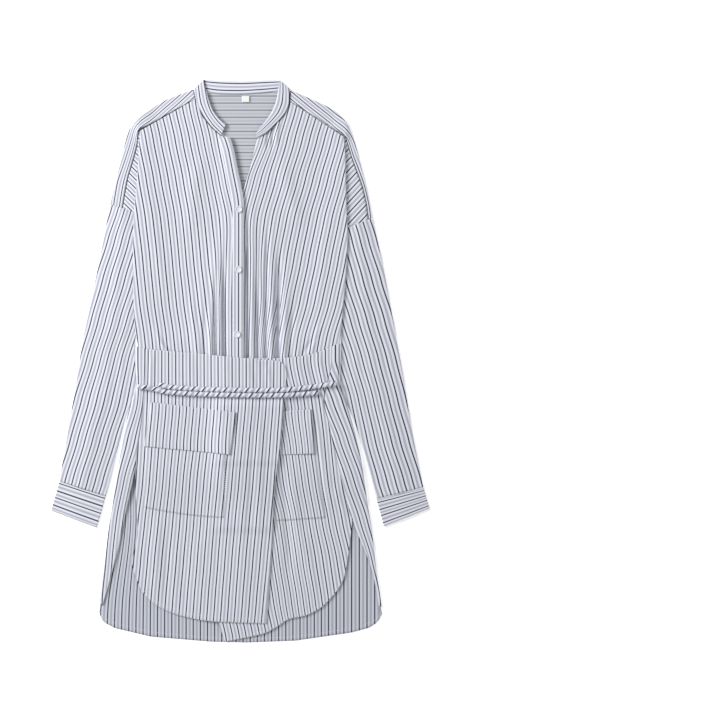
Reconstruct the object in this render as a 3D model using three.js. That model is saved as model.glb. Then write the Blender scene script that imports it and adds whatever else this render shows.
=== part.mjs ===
// A striped shirt dress laid flat: a drop-shouldered shirt with a stand collar under a wrap skirt.
// Millimetres. The dress lies on z = 0 with its neck towards +Y and its front towards +Z.
// "Right" and "left" in the names are the wearer's.
import * as THREE from 'three';

// Driving dimensions
const WALL = 1.2;            // modelled thickness of one layer of cloth
const LAYER = 1.8;           // rise from one layer's middle to that of the next
const REST = WALL / 2;       // middle of a layer that lies on the floor
const FOLD_Z = 7.0;          // middle of the body's front where it folds over the sleeve
const ARM_Z = 2.4;           // middle of the drop shoulder's upper layer
const CHEST_Z = 3.4;         // middle of the body's front on the chest
const SIDE_SEAM_IN = 13.8;   // from the body's fold line in to the hidden side seam
const SKIRT_Z = 8.6;         // middle of the skirt's front at the waist
const HEM_Z = 3.4;           // the same near the skirt's hem
const SHIRT_HEM_Y = -150;    // hidden hem of the shirt, inside the skirt
const SLEEVE_EDGE = 2.2;     // height of a sleeve's middle layer at its two long edges
const SLEEVE_CROWN = 4.4;    // the same along its middle
const BUTTON_RADIUS = 5.5;
const BUTTON_THICKNESS = 2.2;
const BELT_RADIUS = 3.6;
const BELT_LOBE = 0.45;
const BELT_PITCH = 30;       // length of one turn of the belt's twist

const CENTRE = { x: 1.45, y: 1.56 };  // middle of the laid outline, moved to the origin

const COLOURS = { cloth: 0xdfe2ee, inside: 0xc9ccd8, button: 0xf4f5f7, label: 0xfafafa };

// Small helpers
const mix = (a, b, t) => a + (b - a) * t;
const clamp01 = (t) => Math.min(1, Math.max(0, t));
const smooth = (a, b, v) => {
  const t = clamp01((v - a) / (b - a));
  return t * t * (3 - 2 * t);
};
const plateau = (a, b, c, d, v) => smooth(a, b, v) * (1 - smooth(c, d, v));
const range = (n) => Array.from({ length: n + 1 }, (_, i) => i / n);

// A table row at the fraction t of the table's rows, every column interpolated
function rowAt(table, t) {
  const place = clamp01(t) * (table.length - 1);
  const low = Math.min(Math.floor(place), table.length - 2);
  const row = {};
  for (const key of Object.keys(table[low])) {
    row[key] = mix(table[low][key], table[low + 1][key], place - low);
  }
  return row;
}

// The y of a line of { x, y } rows at a given x
function lineY(line, x) {
  for (let i = 1; i < line.length; i += 1) {
    if (x <= line[i].x || i === line.length - 1) {
      const t = (x - line[i - 1].x) / (line[i].x - line[i - 1].x);
      return mix(line[i - 1].y, line[i].y, clamp01(t));
    }
  }
  return line[0].y;
}

// Cloth from its middle surface: patches are grids of points, welded where they meet, then
// given a wall along the surface's normals, or straight up and down for a lying sheet.
function clothGeometry(patches, upright = false, wall = WALL) {
  const places = [];
  const found = new Map();
  const indexOf = (p) => {
    const key = [p.x, p.y, p.z].map((v) => Math.round(v * 1000)).join(' ');
    if (!found.has(key)) {
      found.set(key, places.length);
      places.push(p);
    }
    return found.get(key);
  };
  const faces = [];
  for (const { grid, flip } of patches) {
    for (let i = 0; i + 1 < grid.length; i += 1) {
      for (let j = 0; j + 1 < grid[i].length; j += 1) {
        const quad = [grid[i][j], grid[i][j + 1], grid[i + 1][j + 1], grid[i + 1][j]].map(indexOf);
        const [a, b, c, d] = flip ? quad.reverse() : quad;
        const straight = places[a].distanceTo(places[c]) <= places[b].distanceTo(places[d]);
        faces.push(...(straight ? [[a, b, c], [a, c, d]] : [[a, b, d], [b, c, d]]));
      }
    }
  }
  const solidFaces = faces.filter(([a, b, c]) => a !== b && b !== c && a !== c);
  const normals = places.map(() => new THREE.Vector3());
  for (const [a, b, c] of solidFaces) {
    const ab = places[b].clone().sub(places[a]);
    const normal = ab.cross(places[c].clone().sub(places[a]));
    [a, b, c].forEach((k) => normals[k].add(normal));
  }
  const up = solidFaces.length && normals[solidFaces[0][0]].z < 0 ? -1 : 1;
  const offsets = normals.map((n) => (upright ? new THREE.Vector3(0, 0, up) : n.normalize()));
  const count = places.length;
  const position = [];
  for (const side of [1, -1]) {
    places.forEach((p, k) => {
      const q = p.clone().addScaledVector(offsets[k], (side * wall) / 2);
      position.push(q.x, q.y, Math.max(q.z, 0));
    });
  }
  const index = [];
  const edges = new Map();
  for (const [a, b, c] of solidFaces) {
    index.push(a, b, c, a + count, c + count, b + count);
    [[a, b], [b, c], [c, a]].forEach(([p, q]) => edges.set(`${p} ${q}`, [p, q]));
  }
  for (const [p, q] of edges.values()) {
    if (!edges.has(`${q} ${p}`)) {
      index.push(p, p + count, q, q, p + count, q + count);
    }
  }
  const geometry = new THREE.BufferGeometry();
  geometry.setAttribute('position', new THREE.Float32BufferAttribute(position, 3));
  geometry.setIndex(index);
  return facingOut(geometry);
}

// Turns a closed geometry's faces outwards and gives it normals
function facingOut(geometry) {
  const p = geometry.getAttribute('position');
  const index = Array.from(geometry.index.array);
  const corner = (k) => new THREE.Vector3().fromBufferAttribute(p, index[k]);
  let volume = 0;
  for (let k = 0; k < index.length; k += 3) {
    volume += corner(k).dot(corner(k + 1).cross(corner(k + 2)));
  }
  if (volume < 0) {
    for (let k = 0; k < index.length; k += 3) {
      [index[k + 1], index[k + 2]] = [index[k + 2], index[k + 1]];
    }
    geometry.setIndex(index);
  }
  geometry.computeVertexNormals();
  return geometry;
}

const dress = new THREE.Group();
dress.name = 'shirt_dress';
dress.position.set(-CENTRE.x, -CENTRE.y, 0);

function addMesh(name, geometry, colour) {
  const material = new THREE.MeshStandardMaterial({ color: colour, roughness: 0.85, metalness: 0 });
  const mesh = new THREE.Mesh(geometry, material);
  mesh.name = name;
  dress.add(mesh);
  return mesh;
}

const point = (x, y, z) => new THREE.Vector3(x, y, z);

// A sheet over a grid of { x, y } places, its height given by a function of the place
function lyingSheet(rows, columns, placeAt, heightAt) {
  const grid = range(rows).map((t) => range(columns).map((s) => {
    const { x, y } = placeAt(s, t);
    return point(x, y, heightAt(x, y));
  }));
  return clothGeometry([{ grid }], true);
}

// Heights of the stacked layers

// Gathers beside the placket, ridges of the body's front: middle, width, height, top and foot
const GATHERS = [
  { x: -36, width: 15, height: 2.3, top: 200, foot: 0 },
  { x: -60, width: 12, height: 1.2, top: 150, foot: 10 },
  { x: 19, width: 13, height: 2.1, top: 250, foot: 0 },
  { x: 46, width: 15, height: 2.4, top: 210, foot: 0 },
  { x: 78, width: 16, height: 1.2, top: 150, foot: 10 },
];

function gathers(x, y) {
  let rise = 0;
  for (const fold of GATHERS) {
    const across = Math.max(0, 1 - Math.abs(x - fold.x) / fold.width);
    const along = plateau(-60, fold.foot + 20, fold.top - 60, fold.top + 30, y);
    rise += fold.height * across * across * (3 - 2 * across) * (0.35 + 0.65 * smooth(-40, 40, y)) * along;
  }
  return rise;
}

const insideSkirt = (y) => 1 - smooth(30, 62, y);
const backHeight = (x, y) => REST + LAYER * insideSkirt(y);
const frontBase = (x, y) => CHEST_Z + LAYER * insideSkirt(y) + gathers(x, y);
const underFront = (x, y) => frontBase(x, y);
const overFront = (x, y) => frontBase(x, y) + 1.15 * LAYER * smooth(-38, -19, x);

const POCKET_ZONE = { left: -54, right: -26, top: -54, topIn: -72, footIn: -262, foot: -278 };
const FLAP_FOOT = { in: -156, out: -170 };
const skirtHeight = (y) => mix(HEM_Z, SKIRT_Z, smooth(-250, -168, y));
const overPlacket = (x, y) => 1.3 * LAYER * plateau(-48, -18, 14, 44, x) * smooth(-225, -160, y);
const underlapHeight = (x, y) => skirtHeight(y) + overPlacket(x, y);

function overlapHeight(x, y) {
  const zone = POCKET_ZONE;
  const overUnderlap = 1.1 * smooth(-70, -34, x);
  const across = smooth(zone.left, zone.right, x);
  const pocket = plateau(zone.foot, zone.footIn, zone.topIn, zone.top, y);
  const flap = plateau(FLAP_FOOT.out, FLAP_FOOT.in, zone.topIn, zone.top, y);
  return underlapHeight(x, y) + LAYER * (overUnderlap + across * 1.25 * (pocket + flap));
}

// Shirt fronts. Each row of a table is a section: a is the centre or neck edge, b the fold line
// at the body's side, tuck the return under the fold, d the yoke seam of the drop shoulder.
const RIGHT_FRONT_ARM = [
  { ax: -74, ay: 417.5, bx: -158.5, by: 369, tuck: 0.5, dx: -161.5, dy: 367.5 },
  { ax: -69, ay: 409, bx: -160, by: 352, tuck: 4, dx: -163, dy: 345 },
  { ax: -59.5, ay: 392.5, bx: -161, by: 334, tuck: 9, dx: -169, dy: 321 },
  { ax: -45, ay: 374, bx: -162, by: 314, tuck: 14, dx: -177, dy: 295 },
  { ax: -29, ay: 360.5, bx: -163.5, by: 290, tuck: 18, dx: -181.8, dy: 270 },
  { ax: -16, ay: 357.5, bx: -166, by: 262, tuck: 22, dx: -184.6, dy: 254 },
  { ax: -9.6, ay: 338.5, bx: -168.2, by: 233, tuck: 24, dx: -187, dy: 241.3 },
];
const RIGHT_FRONT_SIDE = [
  { ax: -3.2, ay: 307, bx: -169.4, by: 200 },
  { ax: 5.6, ay: 263, bx: -169.8, by: 165 },
  { ax: 6.6, ay: 222, bx: -169.6, by: 130 },
  { ax: 6.6, ay: 180, bx: -169, by: 100 },
  { ax: 6.6, ay: 140, bx: -168.3, by: 76 },
  { ax: 6.6, ay: 100, bx: -166.5, by: 55 },
  { ax: 6.6, ay: 60, bx: -164, by: 36 },
  { ax: 6.6, ay: 20, bx: -159, by: 12 },
  { ax: 6.6, ay: -30, bx: -156, by: -35 },
  { ax: 6.6, ay: -90, bx: -154, by: -90 },
  { ax: 6.6, ay: SHIRT_HEM_Y, bx: -152, by: SHIRT_HEM_Y },
];
const LEFT_FRONT_ARM = [
  { ax: 85.5, ay: 412.5, bx: 167, by: 359.5, tuck: 0.5, dx: 170, dy: 357.5 },
  { ax: 81, ay: 404, bx: 168.5, by: 346, tuck: 4, dx: 173.5, dy: 344 },
  { ax: 72, ay: 394, bx: 169.5, by: 328, tuck: 9, dx: 179, dy: 326 },
  { ax: 58, ay: 378, bx: 170, by: 306, tuck: 14, dx: 186.5, dy: 306 },
  { ax: 44, ay: 364, bx: 170.5, by: 276, tuck: 18, dx: 196, dy: 280 },
  { ax: 29.5, ay: 356, bx: 171.5, by: 242, tuck: 22, dx: 202.8, dy: 252 },
  { ax: 24, ay: 338, bx: 173.3, by: 202.5, tuck: 24, dx: 206, dy: 224.5 },
];
const LEFT_FRONT_SIDE = [
  { ax: 15.6, ay: 303, bx: 172.5, by: 172 },
  { ax: 3.2, ay: 265.6, bx: 170.5, by: 142 },
  { ax: -8, ay: 234, bx: 168.5, by: 115 },
  { ax: -11, ay: 185, bx: 166.5, by: 92 },
  { ax: -11, ay: 140, bx: 164.5, by: 70 },
  { ax: -11, ay: 100, bx: 162.5, by: 52 },
  { ax: -11, ay: 60, bx: 160.5, by: 34 },
  { ax: -11, ay: 20, bx: 156.5, by: 10 },
  { ax: -11, ay: -30, bx: 152, by: -35 },
  { ax: -11, ay: -90, bx: 149, by: -90 },
  { ax: -11, ay: SHIRT_HEM_Y, bx: 147.5, by: SHIRT_HEM_Y },
];
const FRONT_COLUMNS = 12;

function shirtFront(armRows, sideRows, heightAt) {
  const inward = armRows[0].bx < 0 ? 1 : -1;
  const upper = [];
  const shoulder = [];
  const radius = (FOLD_Z - ARM_Z) / 4;
  const section = (row, k) => {
    const onArm = k < armRows.length;
    const foldZ = mix(FOLD_Z - 1.2, FOLD_Z, smooth(0, 2, k));
    const lift = (foldZ - ARM_Z) / 4;
    const firstZ = backHeight(row.bx, row.by) - REST;
    const line = range(FRONT_COLUMNS).map((s) => {
      const x = mix(row.ax, row.bx - inward * -radius, s);
      const y = mix(row.ay, row.by, s);
      const side = smooth(0.6, 1, s);
      return point(x, y, mix(heightAt(x, y), foldZ, side));
    });
    const outer = row.bx + inward * radius;
    line.push(point(outer - inward * lift * 0.9, row.by, foldZ - lift * 0.45));
    line.push(point(outer - inward * lift * 0.9, row.by, foldZ - lift * 1.55));
    line.push(point(outer, row.by, foldZ - 2 * lift));
    if (onArm) {
      line.push(point(outer + inward * row.tuck, row.by, foldZ - 2 * lift));
    } else {
      line.push(point(row.bx + inward * 10.4, row.by, foldZ - 2 * lift));
      line.push(point(row.bx + inward * 12.8, row.by, mix(foldZ - 2 * lift, REST + firstZ, 0.5)));
      line.push(point(row.bx + inward * SIDE_SEAM_IN, row.by, REST + firstZ + 0.3));
    }
    upper.push(line);
    if (onArm) {
      const start = line[line.length - 1];
      const low = [start];
      low.push(point(start.x + inward * lift * 0.9, start.y, foldZ - lift * 2.45));
      low.push(point(start.x + inward * lift * 0.9, start.y, foldZ - lift * 3.55));
      low.push(point(start.x, start.y, ARM_Z));
      for (const s of [0.45, 0.8, 1]) {
        low.push(point(mix(start.x, row.dx, s), mix(start.y, row.dy, s), ARM_Z));
      }
      shoulder.push(low);
    }
  };
  armRows.concat(sideRows).forEach(section);
  const armUpper = upper.slice(0, armRows.length);
  const seamEnds = upper.slice(armRows.length - 1);
  const columns = armUpper[0].length;
  const joined = seamEnds.map((line) => line.slice(0, columns));
  const returns = seamEnds.slice(1).map((line) => line.slice(columns - 1));
  const flip = inward < 0;
  return clothGeometry([
    { grid: armUpper, flip }, { grid: joined, flip }, { grid: returns, flip },
    { grid: shoulder, flip },
  ]);
}

addMesh('shirt_front_left', shirtFront(LEFT_FRONT_ARM, LEFT_FRONT_SIDE, underFront), COLOURS.cloth);
addMesh('shirt_front_right', shirtFront(RIGHT_FRONT_ARM, RIGHT_FRONT_SIDE, overFront), COLOURS.cloth);

// Placket on the right front, from the collar to the hidden hem
const PLACKET = [
  { ix: -33, iy: 356.5, ox: -15.2, oy: 359 },
  { ix: -26.5, iy: 335, ox: -8.8, oy: 339 },
  { ix: -20.3, iy: 303, ox: -2.4, oy: 307 },
  { ix: -12, iy: 260, ox: 6.4, oy: 263 },
  { ix: -10.6, iy: 235, ox: 7.6, oy: 235 },
  { ix: -10.6, iy: 130, ox: 7.6, oy: 130 },
  { ix: -10.6, iy: 25, ox: 7.6, oy: 25 },
  { ix: -10.6, iy: SHIRT_HEM_Y + 2, ox: 7.6, oy: SHIRT_HEM_Y + 2 },
];
const placketHeight = (x, y) => overFront(x, y) + LAYER;
addMesh('placket', lyingSheet(18, 3, (s, t) => {
  const row = rowAt(PLACKET, t);
  return { x: mix(row.ix, row.ox, s), y: mix(row.iy, row.oy, s) };
}, placketHeight), COLOURS.cloth);

// Shirt back below the yoke, hidden, down to the hem inside the skirt
const SHIRT_BACK = [
  { lx: -147, rx: 146, y: 252 },
  { lx: -152.5, rx: 155, y: 200 },
  { lx: -153.5, rx: 153, y: 130 },
  { lx: -151, rx: 147.5, y: 70 },
  { lx: -147, rx: 144, y: 36 },
  { lx: -142.5, rx: 140, y: 12 },
  { lx: -139, rx: 135.5, y: -35 },
  { lx: -137, rx: 132.5, y: -90 },
  { lx: -136, rx: 131.5, y: SHIRT_HEM_Y },
];
addMesh('shirt_back', lyingSheet(14, 8, (s, t) => {
  const row = rowAt(SHIRT_BACK, t);
  return { x: mix(row.lx, row.rx, s), y: row.y };
}, backHeight), COLOURS.inside);

// Yoke: the back layer from the shoulders to the back seam, and the strips that come over the
// shoulders. f is the front seam, o the shoulder's outline, k the back seam.
const YOKE_RIGHT = [
  { fx: -188, fy: 242, ox: -207, oy: 250.4, kx: -168, ky: 236 },
  { fx: -183.6, fy: 270, ox: -202.4, oy: 270.4, kx: -163, ky: 242 },
  { fx: -178.6, fy: 295, ox: -192.8, oy: 309, kx: -157, ky: 249 },
  { fx: -170.6, fy: 322, ox: -184.8, oy: 341, kx: -150, ky: 255 },
  { fx: -164.4, fy: 346, ox: -177.6, oy: 368, kx: -140, ky: 255 },
  { fx: -161.3, fy: 369.5, ox: -160, oy: 391, kx: -126, ky: 255 },
  { fx: -142.4, fy: 379.8, ox: -140, oy: 405, kx: -110, ky: 255 },
  { fx: -121.6, fy: 391.5, ox: -121, oy: 416.8, kx: -92, ky: 255 },
  { fx: -100, fy: 403.6, ox: -100, oy: 425.5, kx: -74, ky: 255 },
  { fx: -78, fy: 416, ox: -80, oy: 433, kx: -58, ky: 255 },
];
const YOKE_NECK = [
  { ox: -66, oy: 431.5, kx: -48, ky: 255 },
  { ox: -40, oy: 429.5, kx: -30, ky: 255 },
  { ox: 5, oy: 429, kx: 4, ky: 255 },
  { ox: 50, oy: 431, kx: 38, ky: 255 },
  { ox: 78, oy: 433, kx: 58, ky: 255 },
];
const YOKE_LEFT = [
  { fx: 89, fy: 411.8, ox: 91, oy: 431, kx: 68, ky: 255 },
  { fx: 113.6, fy: 396.5, ox: 114, oy: 420, kx: 86, ky: 255 },
  { fx: 140.8, fy: 380, ox: 140, oy: 408, kx: 106, ky: 255 },
  { fx: 155, fy: 370, ox: 155, oy: 398.5, kx: 122, ky: 255 },
  { fx: 168.8, fy: 360, ox: 171.5, oy: 381, kx: 138, ky: 255 },
  { fx: 174.8, fy: 345.5, ox: 182, oy: 358, kx: 150, ky: 253 },
  { fx: 180.3, fy: 327, ox: 188.5, oy: 336, kx: 157, ky: 246 },
  { fx: 187.6, fy: 307.5, ox: 195, oy: 311, kx: 162, ky: 237 },
  { fx: 197, fy: 281.5, ox: 202.6, oy: 281, kx: 166, ky: 227 },
  { fx: 203.8, fy: 253, ox: 208.8, oy: 252, kx: 169, ky: 217 },
  { fx: 207.2, fy: 228, ox: 212.9, oy: 228.5, kx: 172, ky: 207 },
];
const YOKE_BACK_COLUMNS = [0, 0.12, 0.4, 0.7, 1];

function yokeGeometry() {
  const frontZ = (station, shoulder, neck) => {
    const share = (station - shoulder) / (neck - shoulder);
    return share < -0.01 ? ARM_Z : mix(FOLD_Z - 1.2, CHEST_Z, smooth(0, 0.4, share));
  };
  const strip = (rows, shoulder, neck) => rows.map((row, k) => {
    const z = frontZ(k * Math.sign(neck - shoulder), shoulder * Math.sign(neck - shoulder),
      neck * Math.sign(neck - shoulder));
    const out = point(row.ox - row.fx, row.oy - row.fy, 0).normalize();
    const radius = (z - REST) / 2;
    const inner = point(row.ox, row.oy, 0).addScaledVector(out, -radius);
    const line = [0, 0.55].map((s) => point(mix(row.fx, inner.x, s), mix(row.fy, inner.y, s), z));
    for (const angle of [90, 45, 0, -45, -90]) {
      const turn = THREE.MathUtils.degToRad(angle);
      const place = inner.clone().addScaledVector(out, radius * Math.cos(turn));
      line.push(point(place.x, place.y, (z + REST) / 2 + radius * Math.sin(turn)));
    }
    return line;
  });
  const right = strip(YOKE_RIGHT, 5, YOKE_RIGHT.length - 1);
  const left = strip(YOKE_LEFT, 4, 0);
  const back = (rows, tops) => rows.map((row, k) => YOKE_BACK_COLUMNS.map((s) => {
    const top = tops ? tops[k][tops[k].length - 1] : point(row.ox, row.oy, REST);
    return point(mix(top.x, row.kx, s), mix(top.y, row.ky, s), REST);
  }));
  const whole = [...back(YOKE_RIGHT, right), ...back(YOKE_NECK), ...back(YOKE_LEFT, left)];
  return clothGeometry([{ grid: right }, { grid: left }, { grid: whole }]);
}
addMesh('yoke', yokeGeometry(), COLOURS.cloth);

// Collar stand: a band from the right front's end round the back to the left front's end.
// s is its sewn edge and e its free edge; it folds over itself at the two shoulder corners.
const COLLAR = [
  { sx: -28.6, sy: 362, ex: -21.6, ey: 378.7, sz: 5.2, ez: 5.6 },
  { sx: -44.6, sy: 376.4, ex: -31.5, ey: 387.6, sz: 5.2, ez: 5.8 },
  { sx: -57.6, sy: 393.8, ex: -41.6, ey: 400, sz: 5.2, ez: 6 },
  { sx: -67.4, sy: 411.5, ex: -48, ey: 416, sz: 5.2, ez: 6 },
  { sx: -71.4, sy: 428.5, ex: -53, ey: 434, sz: 5.2, ez: 5.8 },
  { sx: -72.8, sy: 435.4, ex: -56.6, ey: 450.8, sz: 4.2, ez: 4.6 },
  { sx: -71.8, sy: 436.4, ex: -55.6, ey: 451.8, sz: 3.1, ez: 3.3 },
  { sx: -68.5, sy: 434.4, ex: -53.4, ey: 451.4, sz: 2.3, ez: 2.3 },
  { sx: -36, sy: 428.4, ex: -32, ey: 449.4, sz: 2.3, ez: 2.5 },
  { sx: 4, sy: 427.6, ex: 4, ey: 448.4, sz: 2.3, ez: 2.5 },
  { sx: 42, sy: 430, ex: 38, ey: 449.6, sz: 2.3, ez: 2.5 },
  { sx: 75, sy: 434, ex: 60.5, ey: 450.4, sz: 2.3, ez: 2.3 },
  { sx: 79.5, sy: 436, ex: 63.6, ey: 451, sz: 3.1, ez: 3.3 },
  { sx: 80.8, sy: 435, ex: 64.8, ey: 450.2, sz: 4.2, ez: 4.6 },
  { sx: 80.6, sy: 428, ex: 62, ey: 433, sz: 5.2, ez: 5.8 },
  { sx: 79.6, sy: 411, ex: 58.4, ey: 414.5, sz: 5.2, ez: 6 },
  { sx: 72.6, sy: 396, ex: 51, ey: 397.5, sz: 5.2, ez: 6 },
  { sx: 58.6, sy: 379.6, ex: 41.5, ey: 383.6, sz: 5.2, ez: 5.8 },
  { sx: 43.6, sy: 365.6, ex: 33, ey: 373, sz: 5.2, ez: 5.8 },
  { sx: 28.6, sy: 357.4, ex: 25.8, ey: 364, sz: 5.2, ez: 5.6 },
];
const collarGrid = COLLAR.map((row) => [0, 0.5, 1].map((s) => (
  point(mix(row.sx, row.ex, s), mix(row.sy, row.ey, s), mix(row.sz, row.ez, s)))));
addMesh('collar_stand', clothGeometry([{ grid: collarGrid }]), COLOURS.cloth);

// Blank neck label inside the back
const LABEL = { x: 9.9, y: 421.5, width: 12, height: 10 };
addMesh('neck_label', lyingSheet(1, 2, (s, t) => ({
  x: LABEL.x + (s - 0.5) * LABEL.width, y: LABEL.y - 4 + (0.5 - t) * LABEL.height,
}), () => REST + LAYER - 0.2), COLOURS.label);

// Sleeves and cuffs: flattened tubes, o the outer edge and i the inner edge of each section
const SLEEVE_RIGHT = [
  { ox: -206.7, oy: 248.8, ix: -168.6, iy: 231 },
  { ox: -216.5, oy: 200, ix: -160.6, iy: 200 },
  { ox: -226.4, oy: 149, ix: -160, iy: 149 },
  { ox: -237, oy: 97, ix: -160, iy: 97 },
  { ox: -245, oy: 60, ix: -159, iy: 60 },
  { ox: -250.5, oy: 34, ix: -168.6, iy: 34 },
  { ox: -258, oy: -15, ix: -168.4, iy: -15 },
  { ox: -263, oy: -46, ix: -168.6, iy: -46 },
  { ox: -270, oy: -88, ix: -181.8, iy: -88 },
  { ox: -279, oy: -140, ix: -194.5, iy: -140 },
  { ox: -287.8, oy: -191, ix: -214, iy: -215 },
];
const SLEEVE_LEFT = [
  { ox: 212.6, oy: 226.6, ix: 174.2, iy: 199.8 },
  { ox: 222, oy: 188, ix: 163.4, iy: 175 },
  { ox: 230.4, oy: 148.8, ix: 161, iy: 140 },
  { ox: 240, oy: 97, ix: 157, iy: 97 },
  { ox: 246, oy: 64, ix: 154.5, iy: 62 },
  { ox: 251, oy: 36, ix: 165.6, iy: 35 },
  { ox: 260.5, oy: -15, ix: 164.4, iy: -15 },
  { ox: 265.5, oy: -46, ix: 165, iy: -46 },
  { ox: 272.5, oy: -90, ix: 181.6, iy: -90 },
  { ox: 281.5, oy: -140, ix: 197.5, iy: -138 },
  { ox: 294, oy: -201, ix: 219.4, iy: -219.4 },
];
const CUFF_RIGHT = [
  { ox: -287.9, oy: -191.5, ix: -214.1, iy: -215.5 },
  { ox: -294.5, oy: -215, ix: -221, iy: -240.5 },
  { ox: -301.1, oy: -237.4, ix: -228.2, iy: -265 },
];
const CUFF_LEFT = [
  { ox: 294.4, oy: -202.2, ix: 219.2, iy: -220.4 },
  { ox: 299, oy: -218.5, ix: 225.2, iy: -242 },
  { ox: 304, oy: -235.2, ix: 231.2, iy: -264 },
];
// Long soft folds along a sleeve: place across it, width, height
const SLEEVE_FOLDS = [
  { at: 0.34, width: 0.13, height: 0.9 },
  { at: 0.66, width: 0.16, height: 0.7 },
];
const SLEEVE_SIDES = 7;

function flatTube(rows, steps, edge, crown, folds) {
  const grid = range(steps).map((t) => {
    const row = rowAt(rows, t);
    const across = point(row.ix - row.ox, row.iy - row.oy, 0);
    const unit = across.clone().normalize();
    const radius = edge / 2;
    const span = across.length() - 2 * radius;
    const at = (s, z) => point(row.ox, row.oy, 0).addScaledVector(unit, radius + span * s).setZ(z);
    const line = range(SLEEVE_SIDES).map((s) => at(s, REST));
    line.push(at(1, REST + radius).addScaledVector(unit, radius));
    range(SLEEVE_SIDES).reverse().forEach((s) => {
      let z = REST + mix(edge, crown, (4 * s * (1 - s)) ** 2);
      for (const fold of folds) {
        const near = Math.max(0, 1 - Math.abs(s - fold.at) / fold.width);
        z -= fold.height * near * Math.sin(Math.PI * clamp01(t * 1.1));
      }
      line.push(at(s, z));
    });
    line.push(at(0, REST + radius).addScaledVector(unit, -radius));
    line.push(line[0]);
    return line;
  });
  return clothGeometry([{ grid }]);
}
const sleeveGeometry = (rows) => flatTube(rows, 12, SLEEVE_EDGE, SLEEVE_CROWN, SLEEVE_FOLDS);
const cuffGeometry = (rows) => flatTube(rows, 3, SLEEVE_EDGE, SLEEVE_EDGE + 1, []);
addMesh('sleeve_right', sleeveGeometry(SLEEVE_RIGHT), COLOURS.cloth);
addMesh('sleeve_left', sleeveGeometry(SLEEVE_LEFT), COLOURS.cloth);
addMesh('cuff_right', cuffGeometry(CUFF_RIGHT), COLOURS.cloth);
addMesh('cuff_left', cuffGeometry(CUFF_LEFT), COLOURS.cloth);

// Skirt back with the side strips that come round to the front. l and r are the side folds,
// p and q the strips' front edges on the wearer's right and left, sag the rows' droop.
const SKIRT_BACK = [
  { lx: -166.4, ly: 24, px: -149.6, py: 20.3, rx: 161.6, ry: 28.3, qx: 148, qy: 24, sag: 3 },
  { lx: -165.5, ly: -10, px: -150.6, py: -12, rx: 160.6, ry: -8, qx: 146.5, qy: -12, sag: 0 },
  { lx: -164, ly: -38, px: -152.2, py: -42, rx: 160, ry: -37, qx: 139.5, qy: -40, sag: 0 },
  { lx: -172.8, ly: -64, px: -154, py: -66, rx: 169, ry: -62, qx: 136.5, qy: -66, sag: 0 },
  { lx: -180, ly: -95, px: -156, py: -96, rx: 179.5, ry: -95, qx: 142.5, qy: -96, sag: 0 },
  { lx: -186.4, ly: -127, px: -160.5, py: -128, rx: 188, ry: -127, qx: 149.5, qy: -128, sag: 0 },
  { lx: -193, ly: -165, px: -165.4, py: -166, rx: 196, ry: -165, qx: 158.5, qy: -166, sag: 0 },
  { lx: -199, ly: -205, px: -166.2, py: -207, rx: 202, ry: -207, qx: 167.5, qy: -207, sag: 2 },
  { lx: -204, ly: -238, px: -164.4, py: -240, rx: 207, ry: -240, qx: 176, qy: -238, sag: 4 },
  { lx: -209, ly: -268, px: -163, py: -271, rx: 211.5, ry: -268, qx: 184, qy: -262, sag: 6 },
  { lx: -213, ly: -300, px: -177, py: -300, rx: 215.5, ry: -302, qx: 200.5, qy: -302, sag: 12 },
  { lx: -217, ly: -330, px: -197, py: -330, rx: 219, ry: -335, qx: 211.5, qy: -332, sag: 20 },
  { lx: -221, ly: -362, px: -213, py: -364, rx: 224, ry: -368, qx: 219, qy: -366, sag: 28 },
  { lx: -223.6, ly: -388, px: -218.6, py: -389, rx: 227.5, ry: -392, qx: 222.6, qy: -391, sag: 36 },
];
const BACK_HEM = [
  { x: -221, y: -408 },
  { x: -214, y: -418 },
  { x: -197, y: -427 },
  { x: -142, y: -440 },
  { x: -46, y: -448 },
  { x: 11, y: -449.4 },
  { x: 90, y: -446.4 },
  { x: 179, y: -432 },
  { x: 211, y: -421.6 },
  { x: 222, y: -412 },
  { x: 227, y: -404 },
];
const SKIRT_COLUMNS = 11;

function skirtBackGeometry() {
  const side = (row, fold, edge) => {
    const z = skirtHeight(fold.y);
    const radius = (z - REST) / 2;
    const out = point(Math.sign(fold.x), 0, 0);
    const reach = Math.min(radius, Math.abs(fold.x - edge.x) * 0.8);
    const inner = point(fold.x - out.x * reach, fold.y, 0);
    const line = [0, 0.5].map((s) => point(mix(edge.x, inner.x, s), mix(edge.y, inner.y, s), z));
    for (const angle of [90, 45, 0, -45, -90]) {
      const turn = THREE.MathUtils.degToRad(angle);
      const height = (z + REST) / 2 + radius * Math.sin(turn);
      line.push(point(inner.x + out.x * reach * Math.cos(turn), inner.y, height));
    }
    return line;
  };
  const rights = [];
  const lefts = [];
  const backs = [];
  SKIRT_BACK.forEach((row) => {
    const right = side(row, { x: row.lx, y: row.ly }, { x: row.px, y: row.py });
    const left = side(row, { x: row.rx, y: row.ry }, { x: row.qx, y: row.qy });
    const from = right[right.length - 1];
    const to = left[left.length - 1];
    rights.push(right);
    lefts.push(left);
    backs.push(range(SKIRT_COLUMNS).map((s) => {
      const droop = row.sag * 4 * s * (1 - s);
      return point(mix(from.x, to.x, s), mix(from.y, to.y, s) - droop, REST);
    }));
  });
  backs.push(range(SKIRT_COLUMNS).map((s) => {
    const x = mix(BACK_HEM[0].x, BACK_HEM[BACK_HEM.length - 1].x, s);
    return point(x, lineY(BACK_HEM, x), REST);
  }));
  return clothGeometry([{ grid: rights }, { grid: lefts, flip: true }, { grid: backs }]);
}
addMesh('skirt_back', skirtBackGeometry(), COLOURS.inside);

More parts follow.
